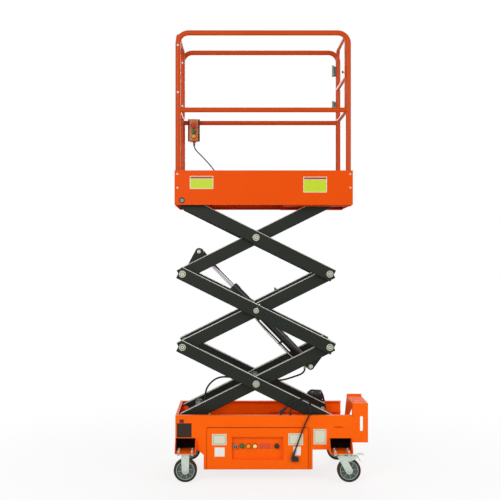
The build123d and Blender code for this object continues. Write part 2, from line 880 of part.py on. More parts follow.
with BuildPart() as gate_hinges:
    for low, high in hinge_heights:
        middle = (low + high) / 2
        with Locations((*gate_axis, (middle + high) / 2)):
            Cylinder(hinge_radius, (high - low) / 2)
        with Locations((*gate_axis, middle)):
            Cylinder(hinge_radius / 2, high - low)
        block(
            (gate_axis[0] - hinge_leaf / 2, gate_axis[0] + hinge_leaf / 2),
            (gate_axis[1], post_leaf_y[1]),
            (middle, high),
        )
        block(
            (gate_axis[0] - hinge_leaf / 2, post_leaf_end - 0.2),
            post_leaf_y,
            (middle, high),
        )
save(gate_hinges.part, "gate_hinges")

# ---- pendant control ------------------------------------------------------------------------------

box_x0, box_x1 = pendant_span
box_z0, box_z1 = pendant_foot, pendant_foot + pendant_height
pendant_rear = post_y - tube_radius - seat_gap
pendant_face = pendant_rear - 4 - pendant_depth
box_x = (box_x0 + box_x1) / 2
with BuildPart() as pendant_back_plate:
    block(
        (box_x - pendant_back / 2, box_x + pendant_back / 2),
        (pendant_rear - 4, pendant_rear),
        (box_z0 + 6, box_z1 + 6),
    )
save(pendant_back_plate.part, "pendant_bracket")

with BuildPart() as pendant_case:
    block((box_x0, box_x1), (pendant_face, pendant_rear - 4), (box_z0, box_z1))
    fillet(pendant_case.edges().filter_by(Axis.Y), 9)
    fillet(pendant_case.faces().sort_by(Axis.Y)[0].edges(), 5)
    with Locations((box_x0 + 34, pendant_face + pendant_depth / 2, box_z0 - 8)):
        Cylinder(9, 16)
save(pendant_case.part, "pendant_case")

# columns: across from the case's middle, up from its lower end, radius, length
buttons = ((0, 109, 17, 26), (1, 67, 14, 12), (2, 32, 13, 12))
with BuildPart() as pendant_buttons:
    for across, up, button_radius, button_length in buttons:
        round_y(box_x + across, box_z0 + up, (pendant_face - button_length, pendant_face), button_radius)
save(pendant_buttons.part, "pendant_buttons")

# ---- casters ----------------------------------------------------------------------------------------

plate_bottom = caster_height - caster_plate_sheet
crown_top = plate_bottom - race_height - seat_gap
crown_bottom = crown_top - 8


def fork_legs(axis_x, axle_x, y, top, half_top):
    """Two tapering legs from a crown to an axle, and the axle bolt."""
    for offset in (-fork_gap / 2 - fork_sheet, fork_gap / 2):
        with BuildSketch(Plane.XZ.offset(-(y + offset + fork_sheet))) as leg_profile:
            with Locations((axle_x, wheel_radius)):
                Circle(fork_foot)
            with Locations((axis_x, top - 4)):
                Rectangle(2 * half_top, 8)
            make_hull()
        extrude(leg_profile.sketch, amount=fork_sheet)
    reach = fork_gap / 2 + fork_sheet
    round_y(axle_x, wheel_radius, (y - reach - 6, y + reach + 6), axle_radius)
    round_y(axle_x, wheel_radius, (y - reach - 6, y - reach), axle_radius + 4)
    round_y(axle_x, wheel_radius, (y + reach, y + reach + 6), axle_radius + 4)


def caster_top(axis_x, y):
    """A bolted top plate."""
    with BuildSketch(Plane.XY.offset(plate_bottom)) as top:
        with Locations((axis_x, y)):
            RectangleRounded(*caster_plate, 8)
            with GridLocations(*caster_bolts, 2, 2):
                Circle(caster_bolt_radius, mode=Mode.SUBTRACT)
    extrude(top.sketch, amount=caster_plate_sheet)


with BuildPart() as fixed_forks:
    for side in (-1, 1):
        caster_top(fixed_caster_x, side * caster_y)
        fork_legs(fixed_caster_x, fixed_caster_x, side * caster_y, plate_bottom, 27)
save(fixed_forks.part, "fixed_forks")

with BuildPart() as swivel_plates:
    for side in (-1, 1):
        caster_top(swivel_axis_x, side * caster_y)
        with Locations((swivel_axis_x, side * caster_y, plate_bottom - race_height / 2)):
            Cylinder(race_radius, race_height)
save(swivel_plates.part, "swivel_plates")

sides = ((-1, "front"), (1, "rear"))
swivel_wheel_x = swivel_axis_x + caster_trail
for side, side_name in sides:
    y = side * caster_y
    with BuildPart() as swivel_fork:
        with Locations((swivel_axis_x, y, (crown_top + crown_bottom) / 2)):
            Cylinder(race_radius + 5, crown_top - crown_bottom)
        block(
            (swivel_axis_x - 28, swivel_axis_x + 52),
            (y - fork_gap / 2 - fork_sheet, y + fork_gap / 2 + fork_sheet),
            (crown_bottom, crown_bottom + 5),
        )
        fork_legs(swivel_axis_x - 4, swivel_wheel_x, y, crown_bottom + 5, 24)
        # cheeks of the brake on the legs, and its lever
        for offset in (-fork_gap / 2 - fork_sheet, fork_gap / 2):
            plate_xz(
                [
                    (swivel_axis_x + 12, crown_bottom + 4),
                    (swivel_axis_x + 98, crown_bottom + 4),
                    (swivel_axis_x + 96, crown_bottom - 12),
                    (swivel_axis_x + 50, crown_bottom - 32),
                    (swivel_axis_x + 22, crown_bottom - 22),
                ],
                (y + offset, y + offset + fork_sheet),
            )
        plate_xz(
            [
                (swivel_axis_x + 94, crown_bottom + 8),
                (swivel_axis_x + 102, crown_bottom + 9),
                (swivel_axis_x + 125, crown_bottom - 34),
                (swivel_axis_x + 119, crown_bottom - 36),
            ],
            (y - 10, y + 10),
        )
        # brake pedal
        plate_xz(
            [
                (swivel_axis_x + 44, crown_bottom + 1),
                (swivel_axis_x + 44, crown_bottom + 5),
                (swivel_axis_x + pedal_reach - 20, crown_bottom + 14),
                (swivel_axis_x + pedal_reach, crown_bottom + 12),
                (swivel_axis_x + pedal_reach, crown_bottom + 8),
                (swivel_axis_x + pedal_reach - 20, crown_bottom + 10),
            ],
            (y - 17, y + 17),
        )
    save(swivel_fork.part, f"swivel_fork_{side_name}")

wheel_places = (("fixed", fixed_caster_x), ("swivel", swivel_wheel_x))
rim_radius = wheel_radius - tread_thickness
rim_inner = rim_radius - 7
for kind, wheel_x in wheel_places:
    for side, side_name in sides:
        y = side * caster_y
        with BuildPart() as wheel_hub:
            round_y(wheel_x, wheel_radius, (y - 20, y + 20), rim_radius)
            round_y(wheel_x, wheel_radius, (y - 21, y + 21), rim_inner, mode=Mode.SUBTRACT)
            round_y(wheel_x, wheel_radius, (y - hub_half_length, y + hub_half_length), hub_radius)
            # thin web with ribs on both faces
            round_y(wheel_x, wheel_radius, (y - 4, y + 4), rim_inner + 2)
            with BuildSketch(Plane.XZ.offset(-(y + 13))) as ribs:
                with Locations((wheel_x, wheel_radius)):
                    with PolarLocations((hub_radius + rim_inner) / 2, 8, start_angle=10):
                        Rectangle(rim_inner - hub_radius + 4, 5)
            extrude(ribs.sketch, amount=26)
            round_y(
                wheel_x,
                wheel_radius,
                (y - 2 * hub_half_length, y + 2 * hub_half_length),
                axle_radius + pin_clearance,
                mode=Mode.SUBTRACT,
            )
        save(wheel_hub.part, f"wheel_hub_{kind}_{side_name}")

        with BuildPart() as tyre:
            with BuildSketch(Plane.XY.offset(wheel_radius)) as section:
                with Locations((wheel_x + rim_radius + tread_thickness / 2, y)):
                    tread = Rectangle(tread_thickness, tread_width)
                chamfer(tread.vertices().group_by(Axis.X)[-1], 5)
            revolve(section.sketch, axis=Axis((wheel_x, y, wheel_radius), (0, 1, 0)))
        save(tyre.part, f"tyre_{kind}_{side_name}")

# ---- cords and hoses ---------------------------------------------------------------------------------

plug_lead_route = [
    (262, -281, 433),
    (262, -281, 456),
    (265, -281, 482),
    (257, -282, 508),
    (235, -284, 526),
    (200, -285, 534),
    (160, -285, 527),
    (127, -285, 505),
    (101, -285, 480),
]
cord_routes = {
    "power_cord": (
        4.5,
        power_cord_route,
    ),
    "plug_lead": (
        5,
        plug_lead_route,
    ),
    "hydraulic_hose": (
        6,
        [
            (242, -62, 728),
            (242, -62, 704),
            (234, -67, 683),
            (210, -76, 668),
            (174, -88, 658),
            (132, -97, 645),
            (88, -101, 634),
            (44, -103, 633),
            (0, -103, 646),
            (-40, -103, 658),
            (-84, -103, 664),
            (-130, -103, 662),
            (-178, -103, 656),
            (-228, -103, 652),
            (-280, -103, 655),
            (-328, -103, 656),
            (-371, -103, 642),
            (-411, -103, 606),
            (-433, -103, 567),
            (-439, -103, 520),
            (-434, -103, 472),
            (-423, -103, 432),
            (-413, -103, 397),
        ],
    ),
    "pendant_cable": (
        4,
        [
            (-527, 226.4, 2279),
            (-527, 226.4, 2255),
            (-512, 230, 2231),
            (-484, 237, 2204),
            (-452, 244, 2172),
            (-420, 249, 2137),
            (-389, 252, 2099),
            (-358, 253, 2060),
            (-324, 252, 2024),
            (-288, 251, 1992),
            (-255, 252, 1969),
            (-227, 257, 1958),
            (-215, 268, 1957),
            (-215, 284, 1957),
        ],
    ),
}
for name, (radius, points) in cord_routes.items():
    bends = cord_bends(points)
    with BuildPart() as cord:
        tube(points, radius, bends=bends)
    save(cord.part, name)
    print(name, "bend radii", [round(bend) for bend in bends], "volume", round(cord.part.volume))

cable_exit_x = -215
cable_exit_rise = 146     # above the board's lower edge
with BuildPart() as cable_grommet:
    round_y(cable_exit_x, board_bottom + cable_exit_rise, (inner_deck_y - 12, inner_deck_y), 9)
save(cable_grommet.part, "cable_grommet")

# where the two leads over the front wall go through its lip
with BuildPart() as cord_grommets:
    for grommet_x, grommet_y, grommet_top in (power_cord_route[-1], plug_lead_route[0]):
        with Locations((grommet_x, grommet_y, (wall_top + grommet_top) / 2)):
            Cylinder(9, grommet_top - wall_top)
save(cord_grommets.part, "cord_grommets")

with BuildPart() as hose_union:
    round_y(*foot_pin, (-74, -50), cylinder_pin_radius + 8)
    block((foot_pin[0] - 41, foot_pin[0] - 15), (-73, -51), (foot_pin[1] - 6, foot_pin[1] + 14))
    round_y(*foot_pin, (-80, -40), cylinder_pin_radius, mode=Mode.SUBTRACT)
save(hose_union.part, "hose_union")

plug_start = Vector(*plug_lead_route[-1])
plug_line = (plug_start - Vector(*plug_lead_route[-2])).normalized()
with BuildPart() as power_plug:
    with BuildSketch(Plane(origin=plug_start, z_dir=plug_line)) as relief:
        Circle(8)
    extrude(relief.sketch, amount=30)
    with BuildSketch(Plane(origin=plug_start + plug_line * 30, z_dir=plug_line)) as body:
        Circle(12)
    extrude(body.sketch, amount=30)
save(power_plug.part, "power_plug")
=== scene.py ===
import bpy
import math
from mathutils import Matrix, Vector


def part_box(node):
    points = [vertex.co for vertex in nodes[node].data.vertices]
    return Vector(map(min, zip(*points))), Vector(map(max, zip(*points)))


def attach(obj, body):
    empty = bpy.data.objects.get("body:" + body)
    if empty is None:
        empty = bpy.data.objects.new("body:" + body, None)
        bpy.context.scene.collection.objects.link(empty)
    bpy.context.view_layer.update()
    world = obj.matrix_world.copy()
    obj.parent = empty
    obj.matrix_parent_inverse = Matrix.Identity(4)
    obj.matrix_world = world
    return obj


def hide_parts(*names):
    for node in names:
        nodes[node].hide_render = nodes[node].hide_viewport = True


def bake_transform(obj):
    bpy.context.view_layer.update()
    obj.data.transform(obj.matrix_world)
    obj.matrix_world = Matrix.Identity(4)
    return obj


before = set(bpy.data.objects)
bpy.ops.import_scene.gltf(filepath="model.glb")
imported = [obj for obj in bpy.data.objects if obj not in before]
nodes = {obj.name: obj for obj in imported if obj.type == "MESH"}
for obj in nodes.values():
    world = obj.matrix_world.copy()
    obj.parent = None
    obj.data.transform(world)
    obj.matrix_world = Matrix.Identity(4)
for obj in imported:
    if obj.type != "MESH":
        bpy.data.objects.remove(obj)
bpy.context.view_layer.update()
print("frame loaded")

mm = 0.001
left, front, back, up, down = (
    Vector(way) for way in ((-1, 0, 0), (0, -1, 0), (0, 1, 0), (0, 0, 1), (0, 0, -1))
)
sides = {"front": -1, "rear": 1}


def nodeBox(name):
    # a node's lowest and highest corner, in mm
    return [Vector(corner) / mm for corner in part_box(name)]


# modelling steps, all sizes in mm

def clearSelection():
    bpy.ops.object.select_all(action="DESELECT")


def only(piece):
    clearSelection()
    piece.select_set(True)
    bpy.context.view_layer.objects.active = piece
    return piece


def settle(piece):
    # object at the origin, its place in its mesh
    only(piece)
    bpy.ops.object.transform_apply(location=True, rotation=True, scale=True)
    return piece


def applyModifier(piece, kind, **settings):
    only(piece)
    modifier = piece.modifiers.new(kind.lower(), kind)
    for name, value in settings.items():
        setattr(modifier, name, value)
    bpy.ops.object.modifier_apply(modifier=modifier.name)
    return piece


def softened(piece, bevel, steps=2, angle=30):
    if bevel:
        applyModifier(
            piece,
            "BEVEL",
            width=bevel * mm,
            segments=steps,
            limit_method="ANGLE",
            angle_limit=math.radians(angle),
        )
    return piece


def bar(start, end, radius, sides=32, bevel=0.0, steps=2, tip=None):
    # round or many-sided bar between two points; tip is the far end's radius
    start, end = Vector(start) * mm, Vector(end) * mm
    turn = (end - start).to_track_quat("Z", "Y").to_euler()
    place = {"location": (start + end) / 2, "rotation": turn, "depth": (end - start).length}
    clearSelection()
    if tip is None:
        bpy.ops.mesh.primitive_cylinder_add(vertices=sides, radius=radius * mm, **place)
    else:
        bpy.ops.mesh.primitive_cone_add(vertices=sides, radius1=radius * mm, radius2=tip * mm, **place)
    return softened(settle(bpy.context.object), bevel, steps)


def block(low, high, bevel=0.0, steps=2):
    low, high = Vector(low) * mm, Vector(high) * mm
    clearSelection()
    bpy.ops.mesh.primitive_cube_add(size=1, location=(low + high) / 2)
    piece = bpy.context.object
    piece.scale = [abs(side) for side in high - low]
    return softened(settle(piece), bevel, steps)


def ring(centre, way, radius, thickness, around=40, across=10):
    clearSelection()
    bpy.ops.mesh.primitive_torus_add(
        location=Vector(centre) * mm,
        rotation=Vector(way).to_track_quat("Z", "Y").to_euler(),
        major_radius=radius * mm,
        minor_radius=thickness / 2 * mm,
        major_segments=around,
        minor_segments=across,
    )
    return settle(bpy.context.object)


def pickFaces(piece, wanted):
    # leaves edit mode on, with the wanted faces selected
    only(piece)
    bpy.ops.object.mode_set(mode="EDIT")
    bpy.ops.mesh.select_mode(type="FACE")
    bpy.ops.mesh.select_all(action="DESELECT")
    bpy.ops.object.mode_set(mode="OBJECT")
    for face in piece.data.polygons:
        face.select = bool(wanted(face))
    bpy.ops.object.mode_set(mode="EDIT")


def stepFace(piece, way, steps):
    # insets and pushes the end face that looks along way: inset, slope, then a straight push
    way = Vector(way).normalized()
    far = max(face.center.dot(way) for face in piece.data.polygons if face.normal.dot(way) > 0.99)
    pickFaces(piece, lambda face: face.normal.dot(way) > 0.99 and face.center.dot(way) > far - 1e-5)
    for inset, slope, push in steps:
        if inset:
            bpy.ops.mesh.inset(thickness=inset * mm, depth=slope * mm)
        if push:
            bpy.ops.mesh.extrude_region_move(TRANSFORM_OT_translate={"value": way * push * mm})
    bpy.ops.object.mode_set(mode="OBJECT")
    return piece


def plate(outline, way, base, thickness, bevel=0.0):
    # flat plate from an outline in the plane across X, Y or Z, pushed along way
    axis = max(range(3), key=lambda i: abs(way[i]))
    free = [i for i in range(3) if i != axis]
    clearSelection()
    bpy.ops.mesh.primitive_circle_add(vertices=len(outline), radius=mm, fill_type="NGON")
    piece = settle(bpy.context.object)
    for vertex, point in zip(piece.data.vertices, outline):
        place = [0, 0, 0]
        place[free[0]], place[free[1]], place[axis] = point[0] * mm, point[1] * mm, base * mm
        vertex.co = place
    pickFaces(piece, lambda face: True)
    bpy.ops.mesh.extrude_region_move(TRANSFORM_OT_translate={"value": Vector(way) * thickness * mm})
    bpy.ops.mesh.select_all(action="SELECT")
    bpy.ops.mesh.normals_make_consistent(inside=False)
    bpy.ops.object.mode_set(mode="OBJECT")
    return softened(piece, bevel)


def joined(pieces):
    clearSelection()
    for piece in pieces:
        piece.select_set(True)
    bpy.context.view_layer.objects.active = pieces[0]
    if len(pieces) > 1:
        bpy.ops.object.join()
    return bpy.context.object


def copies(piece, moves):
    # one copy for each move, each with its own mesh; the pattern is removed
    made = []
    for move in moves:
        copy = piece.copy()
        copy.data = piece.data.copy()
        copy.data.transform(move)
        if move.determinant() < 0:
            copy.data.flip_normals()
        bpy.context.scene.collection.objects.link(copy)
        made.append(copy)
    bpy.data.objects.remove(piece)
    return made


def shift(x=0, y=0, z=0):
    return Matrix.Translation(Vector((x, y, z)) * mm)


def dress(piece, name, body, material, smooth=32):
    piece.name = name
    piece.data.name = name
    only(piece)
    bpy.ops.object.shade_smooth_by_angle(angle=math.radians(smooth))
    if not isinstance(material, (list, tuple)):
        material = [material]
    if len(piece.data.materials) != len(material):
        piece.data.materials.clear()
        for finish in material:
            piece.data.materials.append(finish)
    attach(piece, body)
    return piece


def hexBolt(place, way, across=13, height=6, washer=10, shank=4):
    # hexagon head on a washer, pointing along way, its shank running back
    place, way = Vector(place), Vector(way).normalized()
    sheet = 2  # washer's thickness
    head = bar(place + way * sheet, place + way * (sheet + height), across / math.sqrt(3), sides=6)
    stepFace(head, way, [(across * 0.07, across * 0.05, 0)])
    disc = bar(place - way * shank, place + way * sheet, washer, sides=28, bevel=0.6)
    return joined([softened(head, 0.5), disc])


def domeScrew(place, way, radius=7, rise=4):
    # round head with a hexagon socket
    place, way = Vector(place), Vector(way).normalized()
    head = bar(place - way * 3, place + way * rise * 0.35, radius, sides=24)
    stepFace(
        head,
        way,
        [(radius * 0.14, rise * 0.35, 0), (radius * 0.3, rise * 0.3, 0), (radius * 0.12, -0.4, -1.6)],
    )
    return head


# materials: one function for painted steel, one for everything else

def linear(hexColour):
    # sRGB hex to linear
    channels = [int(hexColour[i:i + 2], 16) / 255 for i in (1, 3, 5)]
    return [c / 12.92 if c <= 0.04045 else ((c + 0.055) / 1.055) ** 2.4 for c in channels] + [1.0]


def addNode(tree, kind, settings=None, links=None):
    node = tree.nodes.new(kind)
    for name, value in (settings or {}).items():
        if isinstance(name, int) or name in node.inputs:
            node.inputs[name].default_value = value
        else:
            setattr(node, name, value)
    for name, source in (links or {}).items():
        tree.links.new(source, node.inputs[name])
    return node


def newMaterial(name):
    material = bpy.data.materials.new(name)
    material.use_nodes = True
    material.node_tree.nodes.clear()
    return material, material.node_tree


def powderCoat(name, colours, roughness, roundness=1.6, peel=0.10, specular=0.08, paintedTopHighlight=None):
    # baked powder coat on steel: even colour, fine orange peel, soft gloss, edges rounded by the film
    material, tree = newMaterial(name)
    coordinates = addNode(tree, "ShaderNodeTexCoord")
    place = coordinates.outputs["Object"]
    cloudy = addNode(tree, "ShaderNodeTexNoise", {"Scale": 4.0, "Detail": 3.0}, {"Vector": place})
    shade = addNode(
        tree,
        "ShaderNodeMix",
        {"data_type": "RGBA", 6: linear(colours["deep"]), 7: linear(colours["bright"])},
        {0: cloudy.outputs["Fac"]},
    )
    rounded = addNode(tree, "ShaderNodeBevel", {"samples": 4, "Radius": roundness * mm})
    if paintedTopHighlight:
        # painted highlight: only the upper long corners are painted pale, where their faces look partly
        # sideways and upwards
        facing = addNode(tree, "ShaderNodeSeparateXYZ", None, {"Vector": coordinates.outputs["Normal"]})
        sideways = addNode(tree, "ShaderNodeMath", {"operation": "ABSOLUTE"}, {0: facing.outputs["Y"]})
        corner = addNode(
            tree,
            "ShaderNodeMath",
            {"operation": "COMPARE", 1: paintedTopHighlight["middle"], 2: paintedTopHighlight["spread"]},
            {0: sideways.outputs[0]},
        )
        upper = addNode(
            tree,
            "ShaderNodeMath",
            {"operation": "GREATER_THAN", 1: paintedTopHighlight["lowest"]},
            {0: facing.outputs["Z"]},
        )
        upperCornerHighlight = addNode(
            tree, "ShaderNodeMath", {"operation": "MULTIPLY"}, {0: corner.outputs[0], 1: upper.outputs[0]}
        )
        share = addNode(
            tree,
            "ShaderNodeMath",
            {"operation": "MULTIPLY", 1: paintedTopHighlight["share"]},
            {0: upperCornerHighlight.outputs[0]},
        )
        edgeWearAndHighlight = share.outputs[0]
    else:
        # edges are painted paler: partly thinner film on worn edges, partly a painted highlight along every
        # edge
        flat = addNode(tree, "ShaderNodeNewGeometry")
        turn = addNode(
            tree,
            "ShaderNodeVectorMath",
            {"operation": "DOT_PRODUCT"},
            {0: rounded.outputs["Normal"], 1: flat.outputs["Normal"]},
        )
        edge = addNode(
            tree,
            "ShaderNodeMapRange",
            {"From Min": 0.985, "From Max": 0.90, "To Min": 0.0, "To Max": 0.35},
            {"Value": turn.outputs["Value"]},
        )
        edgeWearAndHighlight = edge.outputs["Result"]
    wornAndHighlitColour = addNode(
        tree,
        "ShaderNodeMix",
        {"data_type": "RGBA", 7: linear(colours["edge"])},
        {0: edgeWearAndHighlight, 6: shade.outputs[2]},
    )
    dust = addNode(tree, "ShaderNodeTexNoise", {"Scale": 60.0, "Detail": 6.0}, {"Vector": place})
    gloss = addNode(
        tree,
        "ShaderNodeMapRange",
        {"From Min": 0.3, "From Max": 0.7, "To Min": roughness - 0.05, "To Max": roughness + 0.07},
        {"Value": dust.outputs["Fac"]},
    )
    # orange peel of about 2 mm
    grain = addNode(tree, "ShaderNodeTexNoise", {"Scale": 480.0, "Detail": 2.0}, {"Vector": place})
    bump = addNode(
        tree,
        "ShaderNodeBump",
        {"Strength": peel, "Distance": 0.0004},
        {"Height": grain.outputs["Fac"], "Normal": rounded.outputs["Normal"]},
    )
    surface = addNode(
        tree,
        "ShaderNodeBsdfPrincipled",
        {"IOR": 1.5, "Specular IOR Level": specular},
        {
            "Base Color": wornAndHighlitColour.outputs[2],
            "Roughness": gloss.outputs["Result"],
            "Normal": bump.outputs["Normal"],
        },
    )
    addNode(tree, "ShaderNodeOutputMaterial", None, {"Surface": surface.outputs["BSDF"]})
    return material


def plainFinish(
    name,
    colour,
    roughness,
    metallic=0.0,
    grainSize=1.0,
    grainDepth=0.0,
    mottle=0.0,
    roundness=0.0,
    specular=0.5,
):
    # one colour with a fine grain; grainSize, grainDepth and roundness in mm
    material, tree = newMaterial(name)
    place = addNode(tree, "ShaderNodeTexCoord").outputs["Object"]
    grain = addNode(
        tree, "ShaderNodeTexNoise", {"Scale": 1000 / grainSize, "Detail": 3.0}, {"Vector": place}
    )
    patches = addNode(tree, "ShaderNodeTexNoise", {"Scale": 45.0, "Detail": 4.0}, {"Vector": place})
    base = linear(colour)
    darker = [c * (1 - mottle) for c in base[:3]] + [1.0]
    shade = addNode(
        tree, "ShaderNodeMix", {"data_type": "RGBA", 6: darker, 7: base}, {0: patches.outputs["Fac"]}
    )
    gloss = addNode(
        tree,
        "ShaderNodeMapRange",
        {"From Min": 0.3, "From Max": 0.7, "To Min": roughness * 0.85, "To Max": roughness * 1.2},
        {"Value": patches.outputs["Fac"]},
    )
    heights = {"Height": grain.outputs["Fac"]}
    if roundness:
        rounded = addNode(tree, "ShaderNodeBevel", {"samples": 4, "Radius": roundness * mm})
        heights["Normal"] = rounded.outputs["Normal"]
    bump = addNode(
        tree, "ShaderNodeBump", {"Strength": 0.3, "Distance": max(grainDepth, 0.01) * mm}, heights
    )
    surface = addNode(
        tree,
        "ShaderNodeBsdfPrincipled",
        {"Metallic": metallic, "Specular IOR Level": specular},
        {
            "Base Color": shade.outputs[2],
            "Roughness": gloss.outputs["Result"],
            "Normal": bump.outputs["Normal"],
        },
    )
    addNode(tree, "ShaderNodeOutputMaterial", None, {"Surface": surface.outputs["BSDF"]})
    return material


# pale orange for the edges: partly worn film, partly a painted highlight
orangeEdge = "#FFB070"
baseOrange = powderCoat(
    "baseOrangePowderCoat",
    {"deep": "#F65C01", "bright": "#FF6A04", "edge": orangeEdge},
    0.36,
    roundness=2.5,
)
deckOrange = powderCoat(
    "platformOrangePowderCoat",
    {"deep": "#DC4A02", "bright": "#E65004", "edge": "#F58A48"},
    0.36,
    roundness=2.0,
)
# the platform's orange made darker for the rails: painted shade for the tubes' shaded undersides
railShadedOrange = powderCoat(
    "railOrangeWithPaintedShade",
    {"deep": "#BC4104", "bright": "#C84806", "edge": "#EE8048"},
    0.30,
    roundness=1.0,
    specular=0.15,
)
# dark grey chassis paint; the pale grey along the upper corners is a painted highlight
armGrey = powderCoat(
    "armGreyPaint",
    {"deep": "#171B15", "bright": "#22271F", "edge": "#DDE0D6"},
    0.40,
    roundness=2.2,
    peel=0.15,
    specular=0.2,
    paintedTopHighlight={"middle": 0.55, "spread": 0.38, "lowest": 0.1, "share": 0.9},
)
cylinderBlack = powderCoat(
    "cylinderBlackPaint",
    {"deep": "#0E0F0D", "bright": "#171916", "edge": "#3A3C38"},
    0.28,
    peel=0.06,
    specular=0.5,
)
# dark sheets inside the pockets, painted shade where the pockets' inside lies in shadow: dead matt
pocketShadePaint = plainFinish(
    "pocketPaintedShade", "#1A120C", 0.85, grainSize=3.0, grainDepth=0.2, mottle=0.35, specular=0.1
)
# dark red-brown for the painted shadow in seams and slits
paintedSeamShadow = plainFinish(
    "seamShadowPaint", "#9C2A06", 0.7, grainSize=2.0, grainDepth=0.02, mottle=0.2, specular=0.1
)
# hard chrome on a ground rod: a near mirror, with hardly any grain
hardChrome = plainFinish("hardChromePlate", "#D9DCDC", 0.09, metallic=1.0, grainSize=0.6, grainDepth=0.004)
# zinc plate with a clear passivate: pale and faintly green, with a soft shine
zincPlate = plainFinish(
    "brightZincPlate",
    "#D2E2D6",
    0.34,
    metallic=0.4,
    grainSize=1.5,
    grainDepth=0.02,
    mottle=0.16,
    roundness=0.8,
)
pinZinc = plainFinish(
    "zincPlatedPin",
    "#C9CDB8",
    0.36,
    metallic=0.5,
    grainSize=1.0,
    grainDepth=0.02,
    mottle=0.2,
    roundness=0.8,
)
boltZinc = plainFinish(
    "zincPlatedBolt",
    "#D0D2C8",
    0.32,
    metallic=0.6,
    grainSize=1.0,
    grainDepth=0.02,
    mottle=0.12,
    roundness=0.4,
)
hingeSteel = plainFinish(
    "hingeSteelPaint",
    "#7E8F86",
    0.42,
    metallic=0.3,
    grainSize=1.2,
    grainDepth=0.02,
    mottle=0.2,
    roundness=0.6,
)
# nearly black and smooth: painted shade in the locking rings' grooves and centre holes, and the dark colour
# of the nipples, bushes and hinge bolts
nearBlackAndGrooveShade = plainFinish("nearBlackAndPaintedGrooveShade", "#22251D", 0.45, grainSize=1.5, grainDepth=0.05, mottle=0.3)
brass = plainFinish(
    "turnedBrass", "#C9A24A", 0.28, metallic=1.0, grainSize=0.8, grainDepth=0.01, mottle=0.12
)
# painted castings and rims: even grey-green, a little rough from the mould
hubPaint = plainFinish(
    "castHubPaint", "#62736A", 0.45, grainSize=2.0, grainDepth=0.05, mottle=0.15, roundness=1.2
)
# rims and spokes in a lighter grey than the hub: partly their own paint, partly a painted highlight
rimPaintAndHighlight = plainFinish(
    "rimGreyPaintAndPaintedHighlight", "#93A39B", 0.4, grainSize=1.5, grainDepth=0.03, mottle=0.12, roundness=0.6
)
treadRubber = plainFinish(
    "polyurethaneTread",
    "#33261E",
    0.5,
    grainSize=1.2,
    grainDepth=0.05,
    mottle=0.25,
    roundness=1.0,
    specular=0.3,
)
# rubber, nylon and ABS as moulded: even colour, a soft shine on a fine texture
hoseRubber = plainFinish(
    "hoseRubber", "#11110F", 0.5, grainSize=1.0, grainDepth=0.03, mottle=0.2, specular=0.3
)
blackNylon = plainFinish(
    "blackNylon", "#141311", 0.42, grainSize=0.9, grainDepth=0.03, mottle=0.1, roundness=0.6
)
pendantOrange = plainFinish(
    "pendantOrangeAbs", "#C8701A", 0.38, grainSize=0.8, grainDepth=0.02, mottle=0.10
)
bracketPaint = plainFinish(
    "bracketRedBrownPaint", "#7A2F16", 0.45, grainSize=1.5, grainDepth=0.03, mottle=0.12, roundness=0.8
)
keyBrown = plainFinish("keySwitchBrown", "#4A3328", 0.4, grainSize=0.8, grainDepth=0.01, mottle=0.1)
knobRed = plainFinish("knobRedAbs", "#B8240E", 0.28, grainSize=0.8, grainDepth=0.01, mottle=0.04)
knobGreen = plainFinish("knobGreenAbs", "#1E6B34", 0.28, grainSize=0.8, grainDepth=0.01, mottle=0.04)
lampOrange = plainFinish("lampOrangeLens", "#F39A0C", 0.24, grainSize=0.8, grainDepth=0.01, mottle=0.04)
lampPale = plainFinish("lampPaleLens", "#FBE08A", 0.22, grainSize=0.8, grainDepth=0.01, mottle=0.03)
# printed vinyl without its print: flat colour, matt
plateCream = plainFinish("blankCreamVinyl", "#D9DBC2", 0.4, grainSize=0.8, grainDepth=0.005, mottle=0.04)
plateGrey = plainFinish("blankGreyVinyl", "#8C9284", 0.4, grainSize=0.8, grainDepth=0.005, mottle=0.05)
plateWhite = plainFinish("blankWhiteVinyl", "#EFEBE2", 0.4, grainSize=0.8, grainDepth=0.005, mottle=0.03)
plateGreen = plainFinish(
    "blankYellowGreenVinyl", "#B7CE12", 0.4, grainSize=0.8, grainDepth=0.005, mottle=0.03
)
plateRed = plainFinish("redVinylStrip", "#A8311F", 0.4, grainSize=0.8, grainDepth=0.005, mottle=0.03)
plateDark = plainFinish(
    "darkVinyl", "#332822", 0.45, grainSize=0.8, grainDepth=0.005, mottle=0.05, specular=0.2
)

